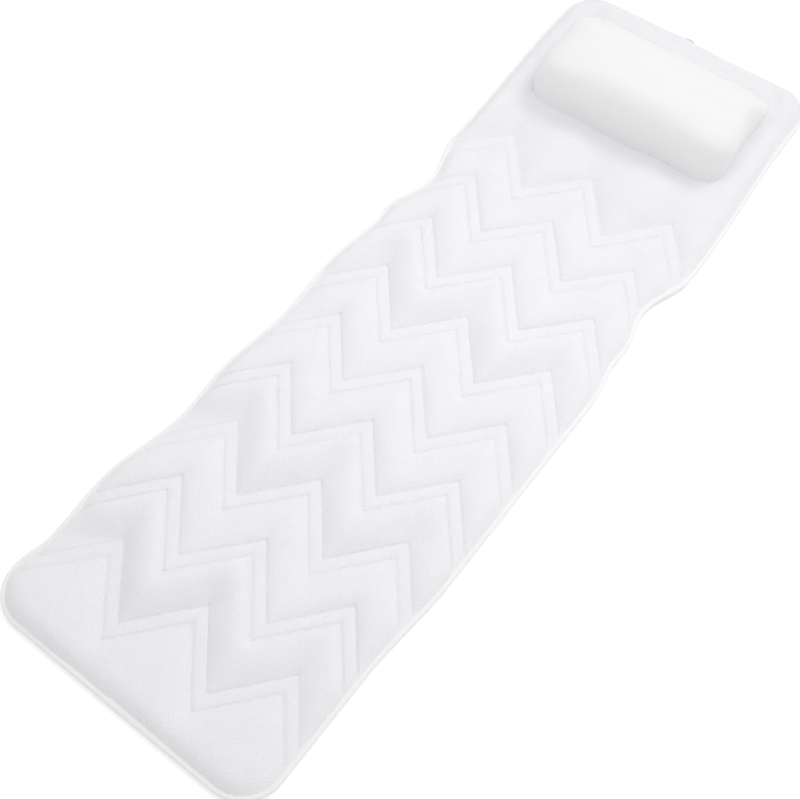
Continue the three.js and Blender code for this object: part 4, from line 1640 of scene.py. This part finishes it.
cover_points, cover_faces = even_faced(loaf_points, loaf_faces, VOXEL)
at_foot = cover_points[:, 2] < PILLOW_BOTTOM + HELD_RISE
cover_points = puffed(cover_points, cover_faces, at_foot, PILLOW_PRESSURE, PILLOW_SWELL)
for axis in range(3):
    moved_apart = cover_points + COVER_WAVE_APART * axis
    wrinkle = [noise.noise(tuple(point / COVER_WAVE_SIZE)) for point in moved_apart]
    cover_points[:, axis] += COVER_WAVE * np.array(wrinkle) * ~at_foot
cover_flat = cover_points[:, :2] + cover_points[:, 2:]
pillow = make_piece("pillow", on_mat(cover_points), cover_faces, cover_flat, pillow_finish)
pillow.modifiers.new("smooth", "SUBSURF").levels = 1
applied(pillow)
print("pillow faces:", len(pillow.data.polygons), "and top at", round(cover_points[:, 2].max(), 1), "mm")

# %% [markdown]
# ## Pillow base
# The cover is closed by a base cloth that is sewn to the mat. The pillow presses into the mat, so the
# base lies a little below the mat's top and its rim is hidden.

# %% Pillow base
BASE_BOTTOM = 19.0
BASE_TOP = 20.4
BASE_PEEP = -10.0

base_scale = 1 + (BASE_PEEP - PILLOW_TUCK) / np.hypot(plan_x, plan_y)
base_rings = []
for height in (BASE_BOTTOM, BASE_TOP):
    level = np.full(ring_count, height)
    base_rings.append(np.stack([plan_x * base_scale, plan_y * base_scale, level], axis=-1))
base_points = np.concatenate(base_rings)
pillow_base = make_piece(
    "pillow_base_cloth",
    on_mat(base_points),
    tube_faces(len(base_rings), ring_count),
    base_points[:, :2],
    backing_finish,
)
print("pillow base faces:", len(pillow_base.data.polygons))

# %% [markdown]
# ## Hanging loop
# A short tape is caught under the binding at the head edge, standing on its edge, so a hook passes
# through it from above. It is a ribbon with a thick section, carried along half an ellipse whose ends run
# on into the binding. It hangs down a little by its own weight, and it lies where the head end of the mat
# has drifted to.

# %% Path of the hanging loop
LOOP_TAPE = 2.2
LOOP_STEPS = 28
LOOP_TUCK = 2.5

loop_low, loop_high = node_box("hanging_loop")
loop_middle_x = (loop_low[0] + loop_high[0]) / 2 + HEAD_DRIFT
loop_foot_y = turned(loop_middle_x, loop_low[1])
loop_half = (loop_high[0] - loop_low[0]) / 2 - LOOP_TAPE / 2
loop_reach = loop_high[1] - loop_low[1] - LOOP_TAPE / 2
loop_path = [(loop_half, -LOOP_TUCK)]
for step_number in range(LOOP_STEPS + 1):
    angle = math.pi * step_number / LOOP_STEPS
    loop_path.append((loop_half * math.cos(angle), loop_reach * math.sin(angle)))
loop_path.append((-loop_half, -LOOP_TUCK))
loop_path = np.array(loop_path)
path_ahead = np.gradient(loop_path, axis=0)
path_ahead /= np.hypot(path_ahead[:, 0], path_ahead[:, 1])[:, None]
path_side = np.stack([path_ahead[:, 1], -path_ahead[:, 0]], axis=1)
print("loop reaches", round(float(loop_reach), 1), "mm past the binding")

# %% Hanging loop
LOOP_SLENDER = 0.65
LOOP_HANG = math.radians(25)
TAPE_SIDE = 0.5
TAPE_SHOULDER = 0.35
TAPE_SHOULDER_RISE = 0.8

half_tape = (loop_high[2] - loop_low[2]) / 2 * LOOP_SLENDER
middle_z = (loop_high[2] + loop_low[2]) / 2
right_half = [(TAPE_SIDE, TAPE_SHOULDER_RISE), (TAPE_SHOULDER, 1.0)]
upper_half = right_half + [(-out, up) for out, up in reversed(right_half)]
tape_section = upper_half + [(-out, -up) for out, up in upper_half]
loop_points = []
loop_flat = []
run = 0.0
for number, (place, side) in enumerate(zip(loop_path, path_side)):
    if number:
        run += float(np.hypot(*(place - loop_path[number - 1])))
    for out, up in tape_section:
        spot = place + side * (out * LOOP_TAPE)
        out_y = spot[1] * math.cos(LOOP_HANG) + up * half_tape * math.sin(LOOP_HANG)
        out_z = up * half_tape * math.cos(LOOP_HANG) - spot[1] * math.sin(LOOP_HANG)
        loop_points.append((loop_middle_x + spot[0], loop_foot_y + out_y, middle_z + out_z))
        loop_flat.append((run, up * half_tape))
loop_faces = tube_faces(len(loop_path), len(tape_section))
hanging_loop = make_piece("hanging_loop_tape", loop_points, loop_faces, loop_flat, tape_finish)
print("loop tape:", round(run, 1), "mm long")

# %% [markdown]
# ## Suction cups and eyelets
# A cup is turned on a lathe in one go: a thin lip, a shallow hollow, a neck and a mushroom head that is
# pressed through the eyelet. All cups share one mesh, and so do the eyelets.

# %% Lathe for the cups and eyelets
LATHE_STEPS = 48


def turned_mesh(name, profile, closed, material):
    """A lathe-turned mesh from (radius, height) points. A closed profile makes a ring."""
    points = []
    numbers = []
    for radius, height in profile:
        if radius == 0:
            numbers.append([len(points)] * LATHE_STEPS)
            points.append((0.0, 0.0, height * MM))
            continue
        numbers.append(list(range(len(points), len(points) + LATHE_STEPS)))
        for step_number in range(LATHE_STEPS):
            angle = 2 * math.pi * step_number / LATHE_STEPS
            points.append((radius * math.cos(angle) * MM, radius * math.sin(angle) * MM, height * MM))
    pairs = list(zip(numbers, numbers[1:]))
    if closed:
        pairs.append((numbers[-1], numbers[0]))
    faces = []
    for low_ring, high_ring in pairs:
        for k in range(LATHE_STEPS):
            after = (k + 1) % LATHE_STEPS
            face = [low_ring[k], low_ring[after], high_ring[after], high_ring[k]]
            faces.append(list(dict.fromkeys(face)))
    mesh = bpy.data.meshes.new(name)
    mesh.from_pydata(points, [], faces)
    mesh.polygons.foreach_set("use_smooth", np.ones(len(faces), dtype=bool))
    mesh.materials.append(material)
    turn_outwards(mesh)
    return mesh


print("lathe turns in", LATHE_STEPS, "steps")

# %% Suction cups and eyelets
# Each run of points is (radius, height) in millimetres.
cup_hollow = ((0.0, 2.8), (4.0, 2.65), (9.0, 1.9), (13.5, 0.75))
cup_lip = ((16.5, 0.0), (18.6, 0.0), (19.0, 0.35), (18.8, 0.85))
cup_bell = ((15.5, 2.3), (11.5, 3.9), (8.0, 5.0), (5.2, 5.7))
cup_neck = ((4.1, 6.6), (3.9, 8.0), (3.9, 12.4), (4.3, 12.9))
cup_head = ((6.6, 13.0), (7.0, 13.4), (6.7, 14.3), (5.6, 15.0), (3.0, 15.3), (0.0, 15.35))
eyelet_below = ((4.35, 9.7), (4.7, 9.35), (6.0, 9.3), (9.0, 9.3), (9.8, 9.5))
eyelet_above = ((10.0, 10.0), (9.7, 10.6), (8.0, 10.7), (4.6, 10.7), (4.35, 10.4))

cup_profile = cup_hollow + cup_lip + cup_bell + cup_neck + cup_head
cup_mesh = turned_mesh("vinyl_cup", cup_profile, False, vinyl_finish)
eyelet_mesh = turned_mesh("eyelet_ring", eyelet_below + eyelet_above, True, eyelet_finish)


def set_in_mat(name, mesh, place, body, node):
    """A turned piece at its place under the mat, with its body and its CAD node."""
    piece = bpy.data.objects.new(name, mesh)
    piece.location = (place[0] * MM, place[1] * MM, 0.0)
    scene.collection.objects.link(piece)
    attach(piece, body)
    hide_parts(node)


for label, place in cup_places.items():
    section = label.split("_")[0]
    set_in_mat(f"vinyl_cup_{label}", cup_mesh, place, f"cup_{label}", f"suction_cup_{label}")
    set_in_mat(f"eyelet_ring_{label}", eyelet_mesh, place, section, f"eyelet_{label}")
print("cups and eyelets:", len(cup_places))

# %% [markdown]
# ## What moves with what
# The pillow and its base ride on the head section. The other pieces keep the place they are made in:
# nothing bends them at the folds, and the loop has no body of its own.


def bend(piece):
    """Bakes a piece's place into its mesh. It does not bend the piece between bodies."""
    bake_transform(piece)


for piece in (pad_lower, backing_lower, binding_lower, quilting_lower, hem_lower):
    bend(piece)
for piece in (pad_upper, backing_upper, binding_upper, quilting_upper, hem_upper):
    bend(piece)
for piece in (pillow, pillow_base):
    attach(piece, "head")
bend(hanging_loop)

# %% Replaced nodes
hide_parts("quilt_top_seat", "fill_seat", "quilt_top_back", "fill_back")
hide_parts("quilt_top_head", "fill_head")
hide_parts("backing_seat", "backing_back")
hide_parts("backing_head")
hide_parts("binding_seat", "binding_back_left", "binding_back_right")
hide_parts("binding_head")
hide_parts("pillow_cover", "pillow_core")
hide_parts("pillow_base")
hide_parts("hanging_loop")


print("sheets lie on", pad_lower.name, "and", pad_upper.name)
